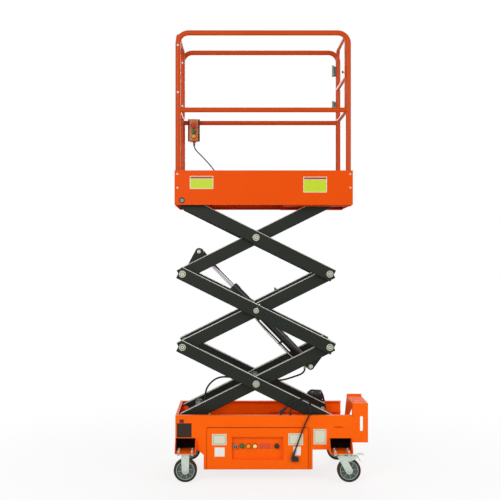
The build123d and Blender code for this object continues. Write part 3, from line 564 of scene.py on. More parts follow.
casterKinds = [f"{kind}_{side}" for kind in ("fixed", "swivel") for side in sides]
nodeFinishes = [
    (
        baseOrange,
        ["base_frame", "caster_pockets", "pivot_brackets", "front_cover", "rear_cover", "boarding_step"],
    ),
    (deckOrange, ["platform_tub"]),
    (railShadedOrange, ["front_rail", "rear_rail", "end_rail", "gate_frame"]),
    (armGrey, [f"{side}_arms_{stage}" for side in ("inner", "outer") for stage in (1, 2, 3)]),
    (cylinderBlack, ["cylinder_barrel", "cylinder_pipe", "limit_switch", "power_unit"]),
    (hardChrome, ["cylinder_rod"]),
    (zincPlate, ["fixed_forks", "swivel_plates", "swivel_fork_front", "swivel_fork_rear"]),
    (hingeSteel, ["gate_hinges", "gate_leaves"]),
    (
        pinZinc,
        [
            "inner_pins_1",
            "inner_pins_2",
            "inner_pins_3",
            "outer_pins_1",
            "outer_pins_2",
            "head_pin",
            "hose_union",
        ],
    ),
    (hubPaint, [f"wheel_hub_{kind}" for kind in casterKinds]),
    (treadRubber, [f"tyre_{kind}" for kind in casterKinds]),
    (hoseRubber, ["hydraulic_hose", "power_cord", "plug_lead", "power_plug", "pendant_cable"]),
    (blackNylon, ["charger_inlet", "panel_controls", "cable_grommet", "cord_grommets"]),
    (pendantOrange, ["pendant_case"]),
    (bracketPaint, ["pendant_bracket"]),
    (knobRed, ["pendant_buttons"]),
]
for material, members in nodeFinishes:
    for member in members:
        nodes[member].data.materials.clear()
        nodes[member].data.materials.append(material)
print("materials on", sum(len(members) for _, members in nodeFinishes), "nodes")


# camera, lamps and floor, in metres

view = {"place": (-0.256, -6.0, 1.462), "lens": 62.57, "shiftX": 0.036, "shiftY": 0.016}
bpy.ops.object.camera_add(location=view["place"], rotation=(math.radians(90), 0, 0))
camera = bpy.context.object
camera.data.lens = view["lens"]
camera.data.sensor_width = 36
camera.data.shift_x = view["shiftX"]
camera.data.shift_y = view["shiftY"]
bpy.context.scene.camera = camera
bpy.context.scene.view_settings.view_transform = "Standard"

lamps = {
    "front": {"place": (-2.6, -5.2, 3.6), "aim": (0, 0, 1.5), "size": 3.0, "power": 150},
    "right": {"place": (3.6, -3.4, 2.6), "aim": (0, 0, 1.3), "size": 2.4, "power": 60},
    "back": {"place": (0.5, 4.2, 3.9), "aim": (0, 0, 1.6), "size": 3.0, "power": 90},
}
for name, lamp in lamps.items():
    aim = (Vector(lamp["aim"]) - Vector(lamp["place"])).to_track_quat("-Z", "Y").to_euler()
    bpy.ops.object.light_add(type="AREA", location=lamp["place"], rotation=aim)
    bpy.context.object.name = name + "Lamp"
    bpy.context.object.data.size = lamp["size"]
    bpy.context.object.data.energy = lamp["power"]

roomLight = 0.46
world = bpy.data.worlds.new("paleRoom")
bpy.context.scene.world = world
world.use_nodes = True
world.node_tree.nodes.clear()
ray = addNode(world.node_tree, "ShaderNodeLightPath")
seen = addNode(
    world.node_tree,
    "ShaderNodeMath",
    {"operation": "MAXIMUM"},
    {0: ray.outputs["Is Camera Ray"], 1: ray.outputs["Is Glossy Ray"]},
)
level = addNode(
    world.node_tree, "ShaderNodeMapRange", {"To Min": roomLight, "To Max": 1.0}, {"Value": seen.outputs[0]}
)
glow = addNode(
    world.node_tree, "ShaderNodeBackground", {"Color": (1, 1, 1, 1)}, {"Strength": level.outputs["Result"]}
)
addNode(world.node_tree, "ShaderNodeOutputWorld", None, {"Surface": glow.outputs["Background"]})

# white from a few metres off, so that no horizon shows, with the shadow kept near the wheels
floorLook = {"size": 60, "near": 0.9, "far": 3.2, "nearShare": 0.8}
bpy.ops.mesh.primitive_plane_add(size=floorLook["size"], location=(0, 0, -0.0005))
floor = settle(bpy.context.object)
floor.name = "studioFloor"
floorPaint, floorTree = newMaterial("paleFloor")
floorMatte = addNode(
    floorTree, "ShaderNodeBsdfPrincipled", {"Base Color": (0.93, 0.93, 0.925, 1), "Roughness": 0.85}
)
floorGlow = addNode(floorTree, "ShaderNodeEmission", {"Color": (1, 1, 1, 1), "Strength": 1.0})
floorPlace = addNode(floorTree, "ShaderNodeTexCoord")
floorAway = addNode(
    floorTree, "ShaderNodeVectorMath", {"operation": "LENGTH"}, {0: floorPlace.outputs["Object"]}
)
floorShare = addNode(
    floorTree,
    "ShaderNodeMapRange",
    {
        "interpolation_type": "SMOOTHSTEP",
        "From Min": floorLook["near"],
        "From Max": floorLook["far"],
        "To Min": floorLook["nearShare"],
        "To Max": 1.0,
    },
    {"Value": floorAway.outputs["Value"]},
)
floorRay = addNode(floorTree, "ShaderNodeLightPath")
floorSeen = addNode(
    floorTree,
    "ShaderNodeMath",
    {"operation": "MULTIPLY"},
    {0: floorRay.outputs["Is Camera Ray"], 1: floorShare.outputs["Result"]},
)
floorBlend = addNode(
    floorTree,
    "ShaderNodeMixShader",
    None,
    {0: floorSeen.outputs[0], 1: floorMatte.outputs["BSDF"], 2: floorGlow.outputs["Emission"]},
)
addNode(floorTree, "ShaderNodeOutputMaterial", None, {"Surface": floorBlend.outputs["Shader"]})
floor.data.materials.append(floorPaint)
print("camera, lamps and floor placed")


# cords, each with the points of its route in mm

cords = {
    "powerCord": {
        "node": "power_cord",
        "body": "chassis",
        "radius": 4.5,
        "end": "object",
        "with": ["cord_grommets"],
        "stiffness": "medium",
        "length": 0.52,
        "route": [
            (146, -313, 172),
            (218, -312, 371),
            (240, -312, 410),
            (252, -311, 440),
            (257, -308, 466),
            (248, -303, 493),
            (226, -297, 512),
            (196, -291, 519),
            (166, -287, 511),
            (144, -283, 490),
            (128, -281, 462),
            (128, -281, 433),
        ],
    },
    "plugLead": {
        "node": "plug_lead",
        "body": "chassis",
        "radius": 5,
        "end": "plug",
        "with": ["power_plug"],
        "stiffness": "medium",
        "length": 0.255,
        "route": [
            (262, -281, 433),
            (262, -281, 456),
            (265, -281, 482),
            (257, -282, 508),
            (235, -284, 526),
            (200, -285, 534),
            (160, -285, 527),
            (127, -285, 505),
            (101, -285, 480),
        ],
    },
    "pendantCable": {
        "node": "pendant_cable",
        "body": "platform",
        "radius": 4,
        "end": "object",
        "with": ["cable_grommet"],
        "stiffness": "limp",
        "length": 0.48,
        "route": [
            (-527, 226.4, 2279),
            (-527, 226.4, 2255),
            (-512, 230, 2231),
            (-484, 237, 2204),
            (-452, 244, 2172),
            (-420, 249, 2137),
            (-389, 252, 2099),
            (-358, 253, 2060),
            (-324, 252, 2024),
            (-288, 251, 1992),
            (-255, 252, 1969),
            (-227, 257, 1958),
            (-215, 268, 1957),
            (-215, 284, 1957),
        ],
    },
    "hydraulicHose": {
        "node": "hydraulic_hose",
        "body": "arm_1_inner",
        "radius": 6,
        "end": "object",
        "with": [],
        "stiffness": "medium",
        "length": 0.94,
        "route": [
            (242, -62, 728),
            (242, -62, 704),
            (234, -67, 683),
            (210, -76, 668),
            (174, -88, 658),
            (132, -97, 645),
            (88, -101, 634),
            (44, -103, 633),
            (0, -103, 646),
            (-40, -103, 658),
            (-84, -103, 664),
            (-130, -103, 662),
            (-178, -103, 656),
            (-228, -103, 652),
            (-280, -103, 655),
            (-328, -103, 656),
            (-371, -103, 642),
            (-411, -103, 606),
            (-433, -103, 567),
            (-439, -103, 520),
            (-434, -103, 472),
            (-423, -103, 432),
            (-413, -103, 397),
        ],
    },
}


def routeCurve(name, points):
    # one smooth line with the points, in mm, as its controls
    curve = bpy.data.curves.new(name, "CURVE")
    curve.dimensions = "3D"
    spline = curve.splines.new("NURBS")
    spline.points.add(len(points) - 1)
    for target, point in zip(spline.points, points):
        target.co = (*(Vector(point) * mm), 1)
    spline.order_u = 3
    spline.use_endpoint_u = True
    curve.resolution_u = 12
    piece = bpy.data.objects.new(name, curve)
    bpy.context.scene.collection.objects.link(piece)
    return piece


def thickened(piece, radius, resolution):
    piece.data.bevel_depth = radius * mm
    piece.data.bevel_resolution = resolution
    piece.data.use_fill_caps = True
    return piece


for name, cord in cords.items():
    piece = routeCurve(name, cord["route"])
    bpy.context.view_layer.update()
    line = bpy.data.meshes.new_from_object(piece)
    path = [vertex.co.copy() for vertex in line.vertices]
    thickened(piece, cord["radius"], 5)
    follow = {}
    if cord["body"] == "arm_1_inner":
        # the hose runs between the tray and the first inner arm; it is turned into a mesh and kept in world
        # place, on no body
        only(piece)
        bpy.ops.object.convert(target="MESH")
        piece = bpy.context.object
        bpy.ops.object.shade_smooth()
        follow = {"path": path}
    piece.data.materials.clear()
    piece.data.materials.append(hoseRubber)
    if follow:
        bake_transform(piece)
    else:
        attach(piece, cord["body"])
    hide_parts(cord["node"])
    print(name, "follows", round(sum((b - a).length for a, b in zip(path, path[1:])), 4), "m")


# scissor arms as they stand at rest, and what sits on their pins

scissor = {"arm": 1090, "angle": 26.4, "pivot": (-584.5, 386), "face": 250, "washer": 5.3}
armTurn = math.radians(scissor["angle"])
stageRise = scissor["arm"] * math.sin(armTurn)


def onArm(stage, along, across=0):
    # X and Z of a point on a stage's inner arm
    return (
        scissor["pivot"][0] + along * math.cos(armTurn) - across * math.sin(armTurn),
        scissor["pivot"][1] + stage * stageRise + along * math.sin(armTurn) + across * math.cos(armTurn),
    )


pinHead = {"radius": 21, "rise": 2.4, "groove": (16.6, 13.2), "hole": 4.4}


def jointCap(x, z, side, size=1.0):
    # locking ring round a pin's end, with painted shade in the groove between them and in the centre hole
    way = Vector((0, side, 0))
    base = scissor["face"] + scissor["washer"] - 1.2
    top = base + pinHead["rise"] + 1.2
    cap = bar((x, side * base, z), (x, side * top, z), pinHead["radius"] * size, sides=40)
    rim = pinHead["radius"] - 0.8 - pinHead["groove"][0]
    floor = pinHead["groove"][0] - pinHead["groove"][1] - 0.4
    steps = [
        (0.8, 0.8, 0),
        (rim * size, 0, 0),
        (0.4, -2.4, 0),
        (floor * size, 0, 0),
        (0.4, 2.8, 0),
        (1.0, 0.8, 0),
        ((pinHead["groove"][1] - 1.0 - pinHead["hole"]) * size, 0, 0),
        (0.4, -2.2, 0),
    ]
    stepFace(cap, way, steps)
    cap.data.materials.append(pinZinc)
    cap.data.materials.append(nearBlackAndGrooveShade)
    for face in cap.data.polygons:
        out = math.hypot(face.center.x / mm - x, face.center.z / mm - z) / size
        low = face.center.y * side / mm < top - 1.2
        inGroove = pinHead["groove"][1] - 0.6 < out < pinHead["groove"][0] + 0.4
        # faces in the groove and the centre hole take the painted shade
        if face.normal.dot(way) > 0.3 and (low and inGroove or out < pinHead["hole"] * 0.9):
            face.material_index = 1
    return cap


capPlaces = {
    "arm_1_inner": [(onArm(0, 545), 1.0), (onArm(0, 1090), 1.0)],
    "arm_1_outer": [(onArm(1, 0), 1.0)],
    "arm_2_inner": [(onArm(1, 545), 0.72), (onArm(1, 1090), 1.0)],
    "arm_2_outer": [(onArm(2, 0), 1.0)],
    "arm_3_inner": [(onArm(2, 545), 1.0)],
}
for body, places in capPlaces.items():
    caps = [jointCap(*place, side, size) for place, size in places for side in sides.values()]
    dress(joined(caps), f"lockRings_{body}", body, [pinZinc, nearBlackAndGrooveShade])


# ends of the cylinder's pins outside the lugs
cylinderPins = {
    "foot": {"body": "arm_1_inner", "spot": (0, 922, -69), "radius": 13, "y": (166, 170)},
    "head": {"body": "arm_3_inner", "spot": (2, 162, 87), "radius": 13, "y": (166, 170)},
}
for name, pin in cylinderPins.items():
    x, z = onArm(*pin["spot"])
    ends = []
    for side in sides.values():
        end = bar((x, side * pin["y"][0], z), (x, side * pin["y"][1], z), pin["radius"], sides=32)
        ends.append(
            stepFace(end, (0, side, 0), [(1, 1, 0), (3.5, 0, 0), (0.4, -1.6, 0), (2, 0, 0), (0.4, 1.6, 0)])
        )
    dress(joined(ends), f"cylinderPinEnds_{name}", pin["body"], pinZinc)

# keeper plates beside the middle pins, each held by two screws
keeper = {"length": 46, "width": 15, "sheet": 3, "reach": 30, "tilt": 62}
keepers, keeperScrews = [], []
middleX, middleZ = onArm(1, 545)
for side in sides.values():
    slab = block(
        (-keeper["length"] / 2, -keeper["sheet"] / 2, -keeper["width"] / 2),
        (keeper["length"] / 2, keeper["sheet"] / 2, keeper["width"] / 2),
        bevel=2.5,
    )
    place = Matrix.Rotation(math.radians(-keeper["tilt"]), 4, "Y") @ shift(keeper["reach"])
    keepers += copies(slab, [shift(middleX, side * (scissor["face"] + 1.5), middleZ) @ place])
    for reach in (-14, 14):
        centre = shift(middleX, 0, middleZ) @ place @ Vector((reach * mm, 0, 0))
        screw = (centre.x / mm, side * (scissor["face"] + 3), centre.z / mm)
        keeperScrews.append(hexBolt(screw, (0, side, 0), across=8, height=3.5, washer=5.5, shank=2))
dress(joined(keepers), "pinKeepers", "arm_2_outer", armGrey)
dress(joined(keeperScrews), "pinKeeperScrews", "arm_2_outer", boltZinc)

# a grease nipple on top of each middle inner arm
nipple = {"stage": 1, "along": 735, "across": 42.5, "y": 184}


def greaseNipple(base, way):
    base, way = Vector(base), Vector(way).normalized()
    hexagon = bar(base - way * 2, base + way * 7, 10, sides=6, bevel=0.8)
    stem = bar(base + way * 7, base + way * 12, 6, sides=24, tip=4.5)
    ball = bar(base + way * 12, base + way * 18, 6.2, sides=24, bevel=2.4, steps=3)
    return joined([hexagon, stem, ball])


nippleX, nippleZ = onArm(nipple["stage"], nipple["along"], nipple["across"])
armUp = Vector((-math.sin(armTurn), 0, math.cos(armTurn)))
fittings = [greaseNipple((nippleX, side * nipple["y"], nippleZ), armUp) for side in sides.values()]
dress(joined(fittings), "greaseNipples", "arm_2_inner", nearBlackAndGrooveShade)


# welds at the ends of the cross tubes

weld = {"thickness": 6.72, "radius": 25.5, "y": 163, "ripples": 30, "depth": 0.16}


def weldRing(x, y, z):
    # a rippled bead round a tube's end, its axis along Y
    radius, ripples = weld["radius"], weld["ripples"]
    bead = ring((x, y, z), (0, 1, 0), radius, weld["thickness"], around=ripples * 3, across=8)
    for vertex in bead.data.vertices:
        turn = math.atan2(vertex.co.z - z * mm, vertex.co.x - x * mm)
        centre = Vector((x + radius * math.cos(turn), y, z + radius * math.sin(turn))) * mm
        vertex.co = centre + (vertex.co - centre) * (1 + weld["depth"] * math.sin(turn * ripples))
    return bead


tubeStations = {
    "arm_1_inner": (0, (110, 545, 1090)),
    "arm_2_inner": (1, (0, 1090)),
    "arm_3_inner": (2, (0, 545, 1090)),
}
for body, (stage, stations) in tubeStations.items():
    beads = []
    for along in stations:
        x, z = onArm(stage, along)
        beads += [weldRing(x, side * weld["y"], z) for side in sides.values()]
    dress(joined(beads), f"tubeWelds_{body}", body, armGrey, smooth=60)
print("scissor pins, keepers, nipples and welds made")


# platform fasteners and plates

boardBolts = {"x": (-614, 520), "z": (2013, 1923), "y": 300, "radius": 7}
screws = [
    domeScrew((x, side * boardBolts["y"], z), (0, side, 0), boardBolts["radius"])
    for x in boardBolts["x"]
    for z in boardBolts["z"]
    for side in sides.values()
]
dress(joined(screws), "toeBoardBolts", "platform", boltZinc)

railScrews = {"x": -611.5, "z": (2860, 2551), "outer": 295.5, "inner": 227.5}
screws = []
for z in railScrews["z"]:
    for side in sides.values():
        screws.append(domeScrew((railScrews["x"], side * railScrews["outer"], z), (0, side, 0), 7.5, 4.5))
        screws.append(domeScrew((railScrews["x"], side * railScrews["inner"], z), (0, -side, 0), 7, 4))
dress(joined(screws), "endRailBolts", "platform", boltZinc)

# blank plates on the toe board, front and rear: pale border, yellow-green field, red strip
boardPlates = {
    "left": {"x": (-533, -379), "z": (1915, 2000), "strip": 17},
    "right": {"x": (212, 367), "z": (1892, 1995), "strip": 17},
}
fields, strips, borders = [], [], []
for spot in boardPlates.values():
    (x0, x1), (z0, z1) = spot["x"], spot["z"]
    for side in sides.values():
        y0, y1 = side * 299.7, side * 300.6
        low, high = sorted((y0, y1))
        borders.append(block((x0, low, z0), (x1, high, z1), bevel=0.2, steps=1))
        low, high = sorted((y0, side * 300.9))
        fields.append(
            block((x0 + 4, low, z0 + 4), (x1 - 4, high, z1 - spot["strip"] - 3), bevel=0.2, steps=1)
        )
        strips.append(block((x0 + 4, low, z1 - spot["strip"]), (x1 - 4, high, z1 - 4), bevel=0.2, steps=1))
dress(joined(borders), "toeBoardPlateBorders", "platform", plateCream)
dress(joined(fields), "toeBoardPlateFields", "platform", plateGreen)
dress(joined(strips), "toeBoardPlateStrips", "platform", plateRed)

# pin end seen through the toe board's window, with a dark bush round it
window = {
    "x": scissor["pivot"][0],
    "z": scissor["pivot"][1] + 3 * stageRise,
    "bush": {"y": (290, 297.5), "radius": 19.4},
    "pin": {"y": (288, 297), "radius": 12.5},
}


def inWindow(part, side, edges):
    start, end = ((window["x"], side * y, window["z"]) for y in part["y"])
    return bar(start, end, part["radius"], sides=edges)


bushes, ends = [], []
for side in sides.values():
    bush = inWindow(window["bush"], side, 36)
    bushes.append(stepFace(bush, (0, side, 0), [(2, 0, 0), (0.5, -3, 0)]))
    end = inWindow(window["pin"], side, 32)
    ends.append(stepFace(end, (0, side, 0), [(1, 0.8, 0), (6, 0, 0), (0.4, -2, 0)]))
dress(joined(bushes), "upperPivotBushes", "platform", nearBlackAndGrooveShade)
dress(joined(ends), "upperPivotPinEnds", "platform", hingeSteel)

# raised teardrop lugs on the deck sheet, turned crosswise in a basket pattern
deckTop = scissor["pivot"][1] + 3 * stageRise + 61
lugs = {"length": 22, "width": 6.5, "rise": 1.4, "pitch": 32, "x": (-590, 496), "y": (-256, 256)}


def deckLug():
    lug = bar((0, 0, 0), (0, 0, lugs["rise"] * 0.5), lugs["width"] / 2, sides=10)
    stepFace(lug, up, [(lugs["width"] * 0.24, lugs["rise"] * 0.5, 0)])
    lug.data.transform(Matrix.Diagonal((lugs["length"] / lugs["width"], 1, 1, 1)))
    return lug


countX = int((lugs["x"][1] - lugs["x"][0]) / lugs["pitch"])
countY = int((lugs["y"][1] - lugs["y"][0]) / lugs["pitch"])
pattern = []
for turnX, turnY, angle in ((0, 0, 45), (0.5, 0.5, -45)):
    lug = deckLug()
    lug.data.transform(
        shift(lugs["x"][0] + turnX * lugs["pitch"], lugs["y"][0] + turnY * lugs["pitch"], deckTop - 0.3)
        @ Matrix.Rotation(math.radians(angle), 4, "Z")
    )
    for count, way in ((countX + 1, (1, 0, 0)), (countY, (0, 1, 0))):
        applyModifier(
            lug,
            "ARRAY",
            count=count,
            use_relative_offset=False,
            use_constant_offset=True,
            constant_offset_displace=[c * lugs["pitch"] * mm for c in way],
        )
    pattern.append(lug)
dress(joined(pattern), "deckLugs", "platform", deckOrange, smooth=50)
print("platform fasteners, plates and deck lugs made")


# gate hinges' bolts and the latch

hinge = {"heights": ((2762, 2843), (2510, 2588)), "gateSide": (480, 229), "postSide": (478, 268)}
gateBolts, postBolts = [], []
for low, high in hinge["heights"]:
    middle = (low + high) / 2
    for z in (low + 10, middle - 9):
        gateBolts.append(hexBolt((*hinge["gateSide"], z), front, across=8, height=4, washer=5.5, shank=2))
    for z in (middle + 9, high - 10):
        postBolts.append(hexBolt((*hinge["postSide"], z), back, across=8, height=4, washer=5.5, shank=1))
dress(joined(gateBolts), "gateLeafBolts", "gate", nearBlackAndGrooveShade)
dress(joined(postBolts), "postLeafBolts", "platform", nearBlackAndGrooveShade)

# spring latch on the gate's free side: housing, bolt and knob
latch = {
    "housing": ((486, -232, 2672), (518, -219, 2716)),
    "bolt": ((502, -262, 2700), (502, -210, 2700)),
    "boltRadius": 4.5,
    "knob": ((496, -214, 2700), (476, -214, 2700)),
    "knobRadius": 8,
}
housing = block(*latch["housing"], bevel=2)
stepFace(housing, left, [(3, 0, 0), (0.6, 1.5, 0)])
boltRod = bar(*latch["bolt"], latch["boltRadius"], sides=24, bevel=0.8)
knob = bar(*latch["knob"], latch["knobRadius"], sides=28, bevel=1.5)
stepFace(knob, left, [(2.5, 1, 0)])
dress(joined([housing, boltRod]), "gateLatch", "gate", zincPlate)
dress(knob, "gateLatchKnob", "gate", blackNylon)
print("gate hardware made")


# pendant's lid, buttons and gland

case, bracket = nodeBox("pendant_case"), nodeBox("pendant_bracket")
caseFace = case[0].y
lid = block((case[0].x + 7, caseFace - 1.2, 2302), (case[1].x - 7, caseFace + 0.5, 2446), bevel=0.8)
dress(lid, "pendantLid", "platform", pendantOrange)
lidScrews = [domeScrew((x, caseFace - 1, z), front, 3.2, 2) for x in (-550, -510) for z in (2310, 2438)]
dress(joined(lidScrews), "pendantLidScrews", "platform", boltZinc)
hooks = [
    block(
        (x - 5, bracket[0].y - 1, bracket[1].z - 4), (x + 5, bracket[1].y + 2, bracket[1].z + 3), bevel=1.2
    )
    for x in (-566, -494)
]
flange = block((-572.5, bracket[0].y - 14, 2300), (-569, bracket[1].y, 2458), bevel=0.8)
flangeRight = block((-491, bracket[0].y - 14, 2300), (-487.5, bracket[1].y, 2458), bevel=0.8)
dress(
    joined(hooks + [flange, flangeRight]),
    "pendantBracketFlanges",
    "platform",
    bracketPaint,
)

pendantKnobs = {
    "stop": {
        "place": (-530, 2404), "radius": 17, "stand": 26, "finish": knobRed, "slot": "pendant_buttons"
    },
    "raise": {
        "place": (-529, 2362), "radius": 14, "stand": 12, "finish": knobGreen, "slot": "pendant_buttons"
    },
    "lower": {
        "place": (-528, 2327), "radius": 13, "stand": 12, "finish": lampOrange, "slot": "pendant_yellow"
    },
}
for name, knob in pendantKnobs.items():
    x, z = knob["place"]
    collar = bar((x, caseFace + 1, z), (x, caseFace - 4, z), knob["radius"] + 2.5, sides=36)
    stepFace(collar, front, [(1.2, 1.2, 0)])
    dress(collar, f"{name}Collar", "platform", blackNylon)
    top = caseFace - knob["stand"]
    cap = bar((x, caseFace - 3, z), (x, top - 0.6, z), knob["radius"] + 0.6, sides=40)
    stepFace(cap, front, [(1.5, 1.2, 0), (knob["radius"] * 0.5, 0.8, 0)])
    if name == "stop":
        disc = bar((x, top + 9, z), (x, top - 1, z), 21, sides=40, bevel=3, steps=4)
        cap = joined([cap, stepFace(disc, front, [(6, 1.2, 0), (6, 0.5, 0)])])
    dress(cap, f"{name}Button", "platform", knob["finish"])

# gland nut where the cable leaves the case
gland = {"x": -527, "y": 226.4, "top": 2296, "bottom": 2276}
nut = bar(
    (gland["x"], gland["y"], gland["top"]),
    (gland["x"], gland["y"], gland["top"] - 9),
    11.5,
    sides=6,
    bevel=0.8,
)
boot = bar(
    (gland["x"], gland["y"], gland["top"] - 8),
    (gland["x"], gland["y"], gland["bottom"] - 14),
    9.3,
    sides=28,
    tip=5,
)
dress(joined([nut, boot]), "pendantGland", "platform", blackNylon)
print("pendant made")


# base: pockets, cover, plates and panel

caster = {"x": {"fixed": -560.5, "swivel": 461}, "y": 315, "shelf": 195, "bolts": (45, 35), "under": 185}
pocketSpans = {"fixed": (-628, -492), "swivel": (381, 530)}
liners, nuts, heads = [], [], []
for kind, (x0, x1) in pocketSpans.items():
    for side in sides.values():
        # liner sheets on the back, top and ends of each pocket: painted shade
        for low, high in (
            ((x0 + 4, 199, 195.5), (x1 - 4, 200.6, 315.6)),
            ((x0 + 4, 199, 313.5), (x1 - 4, 295.6, 315.6)),
            ((x0 + 4, 199, 195.5), (x0 + 5, 268, 315.6)),
            ((x1 - 5, 199, 195.5), (x1 - 4, 268, 315.6)),
        ):
            y0, y1 = sorted((side * low[1], side * high[1]))
            liners.append(block((low[0], y0, low[2]), (high[0], y1, high[2]), bevel=0.3, steps=1))
        for stepX in (-1, 1):
            for stepY in (-1, 1):
                x = caster["x"][kind] + stepX * caster["bolts"][0]
                y = side * caster["y"] + stepY * caster["bolts"][1]
                nut = hexBolt((x, y, caster["shelf"]), up, across=17, height=8, washer=11, shank=2)
                end = bar((x, y, caster["shelf"] + 8), (x, y, caster["shelf"] + 17), 5, sides=20, bevel=1)
                nuts += [nut, end]
                heads.append(
                    hexBolt((x, y, caster["under"]), down, across=17, height=6, washer=10, shank=1)
                )
dress(joined(liners), "pocketShadeLiners", "chassis", pocketShadePaint)
dress(joined(nuts), "casterNuts", "chassis", boltZinc)
dress(joined(heads), "casterBoltHeads", "chassis", boltZinc)

cover = {"x": (-421, 243), "z": (78, 348), "face": 302}
(coverX0, coverX1), (coverZ0, coverZ1) = cover["x"], cover["z"]
seams, screws = [], []
for side in sides.values():
    y0, y1 = sorted((side * 299.8, side * (cover["face"] + 0.5)))
    # dark strips along the cover's edges and a line right of it: painted shadow of the gaps
    for low, high in (
        ((coverX0 - 1, y0, coverZ1 - 1), (coverX1 + 1, y1, coverZ1 + 3.5)),
        ((coverX0 - 2, y0, coverZ0), (coverX0 + 0.5, y1, coverZ1)),
        ((coverX1 - 1, y0, coverZ0), (coverX1 + 2.5, y1, coverZ1)),
        ((coverX1 + 13, y0, coverZ0), (coverX1 + 14.5, y1 if side > 0 else y0 + 1.6, coverZ1)),
    ):
        seams.append(block(low, high, bevel=0.3, steps=1))
    for x in (-195, 31):
        for z in (297, 122):
            screws.append(domeScrew((x, side * cover["face"], z), (0, side, 0), 4.2, 2.2))
    for x in (coverX0 + 16, coverX1 - 16):
        for z in (coverZ0 + 16, coverZ1 - 16):
            screws.append(domeScrew((x, side * cover["face"], z), (0, side, 0), 4.2, 2.2))
dress(joined(seams), "coverSeams", "chassis", paintedSeamShadow)
dress(joined(screws), "coverScrews", "chassis", baseOrange)

# rows of louvres in the rear cover, for the motor's air
louvre = {"x": (-300, -90), "z": (150, 162), "pitch": 24, "count": 6, "shiftX": 250}
hoods = []
for column in range(2):
    for row in range(louvre["count"]):
        x0, x1 = (x + column * louvre["shiftX"] for x in louvre["x"])
        z0, z1 = (z + row * louvre["pitch"] for z in louvre["z"])
        hood = block((x0, 300.5, z0), (x1, 305, z1), bevel=0)
        for vertex in hood.data.vertices:
            if vertex.co.z > (z0 + z1) / 2 * mm and vertex.co.y > 303 * mm:
                vertex.co.y -= 3.4 * mm
        hoods.append(softened(hood, 1.2))
dress(joined(hoods), "rearLouvres", "chassis", baseOrange)

# pressed crease in the front wall over the right pocket, and the slit above it as a dark sheet of painted
# shadow
slit = plate(
    [(404, 352.5), (424, 355.6), (458, 355.6), (480, 352.5), (458, 350.4), (424, 350.4)], front, -299.8, 0.7
)
dress(slit, "wallSlit", "chassis", paintedSeamShadow)
crease = plate(
    [(398, 346.5), (430, 349.4), (500, 349), (530, 347), (500, 344.4), (430, 344)], front, -299.6, 1.6
)
dress(softened(crease, 0.7), "wallCrease", "chassis", baseOrange)

# blank vinyl plates: a pale border, a thin grey line and a pale field
basePlates = {
    "coverUpperLeft": {
        "x": (-387, -292), "z": (235, 308), "face": 302, "edge": plateCream, "line": plateGrey
    },
    "coverLowerLeft": {
        "x": (-370, -304), "z": (160, 220), "face": 302, "edge": plateWhite, "line": plateWhite
    },
    "coverUpperRight": {
        "x": (113, 210), "z": (235, 312), "face": 302, "edge": plateCream, "line": plateGrey
    },
    "coverLowerRight": {
        "x": (145, 195), "z": (168, 225), "face": 302, "edge": plateWhite, "line": plateWhite
    },
    "wallRight": {"x": (279, 363), "z": (240, 340), "face": 300, "edge": plateCream, "line": plateGrey},
    "wallLeft": {"x": (-618, -521), "z": (285, 378), "face": 300, "edge": plateDark, "line": plateDark},
}
for name, spot in basePlates.items():
    (x0, x1), (z0, z1), face = spot["x"], spot["z"], -spot["face"]
    layers = [(0, 0.5, spot["edge"])]
    if spot["edge"] is not spot["line"]:
        layers += [(7, 0.75, spot["line"]), (10, 1.0, spot["edge"])]
    for count, (inset, rise, finish) in enumerate(layers):
        sheet = block(
            (x0 + inset, face - rise, z0 + inset), (x1 - inset, face + 0.3, z1 - inset), bevel=0.2, steps=1
        )
        dress(sheet, f"{name}Plate{count}", "chassis", finish)

# dark slot over the left plate, with a rolled edge
slotEdge = block((-600, -301.4, 380), (-572, -299.6, 403), bevel=1.2)
stepFace(slotEdge, front, [(2.5, 0, 0), (0.6, -1.3, 0)])
dress(
    slotEdge,
    "wallSlot",
    "chassis",
    plainFinish("slotRedBrown", "#6A1206", 0.6, mottle=0.2),
)

# pressed label panel without words in the recess
labelPanel = block((-78, -278.6, 206), (-2, -276.6, 243), bevel=0.6)
dress(
    labelPanel,
    "recessLabelPanel",
    "chassis",
    plainFinish("labelOrange", "#D9481E", 0.5, mottle=0.1),
)

recess = {"back": -277, "z": 225}
panelCaps = {
    "keySwitch": {"x": -234, "radius": 12, "stand": 20, "finish": keyBrown},
    "raiseButton": {"x": -190, "radius": 12, "stand": 14, "finish": knobGreen},
    "chargeLamp": {"x": -148, "radius": 12, "stand": 14, "finish": lampOrange},
    "powerLamp": {"x": -105, "radius": 12, "stand": 14, "finish": lampPale},
    "fuseHolder": {"x": 39, "radius": 13, "stand": 17, "finish": blackNylon},
}
for name, knob in panelCaps.items():
    top = recess["back"] - knob["stand"]
    cap = bar(
        (knob["x"], top + 8, recess["z"]),
        (knob["x"], top - 0.8, recess["z"]),
        knob["radius"] + 0.7,
        sides=36,
    )
    stepFace(cap, front, [(1.6, 1.2, 0), (knob["radius"] * 0.45, 0.8, 0)])
    dress(cap, name, "chassis", knob["finish"])
    bezel = bar(
        (knob["x"], top + 9, recess["z"]), (knob["x"], top + 4, recess["z"]), knob["radius"] + 3.4, sides=36
    )
    stepFace(bezel, front, [(1.0, 1.0, 0)])
    dress(bezel, name + "Bezel", "chassis", pinZinc if name == "keySwitch" else blackNylon)
keySlot = block((-235.5, recess["back"] - 24, 218), (-232.5, recess["back"] - 19, 232), bevel=0.6)
dress(keySlot, "keySlot", "chassis", boltZinc)

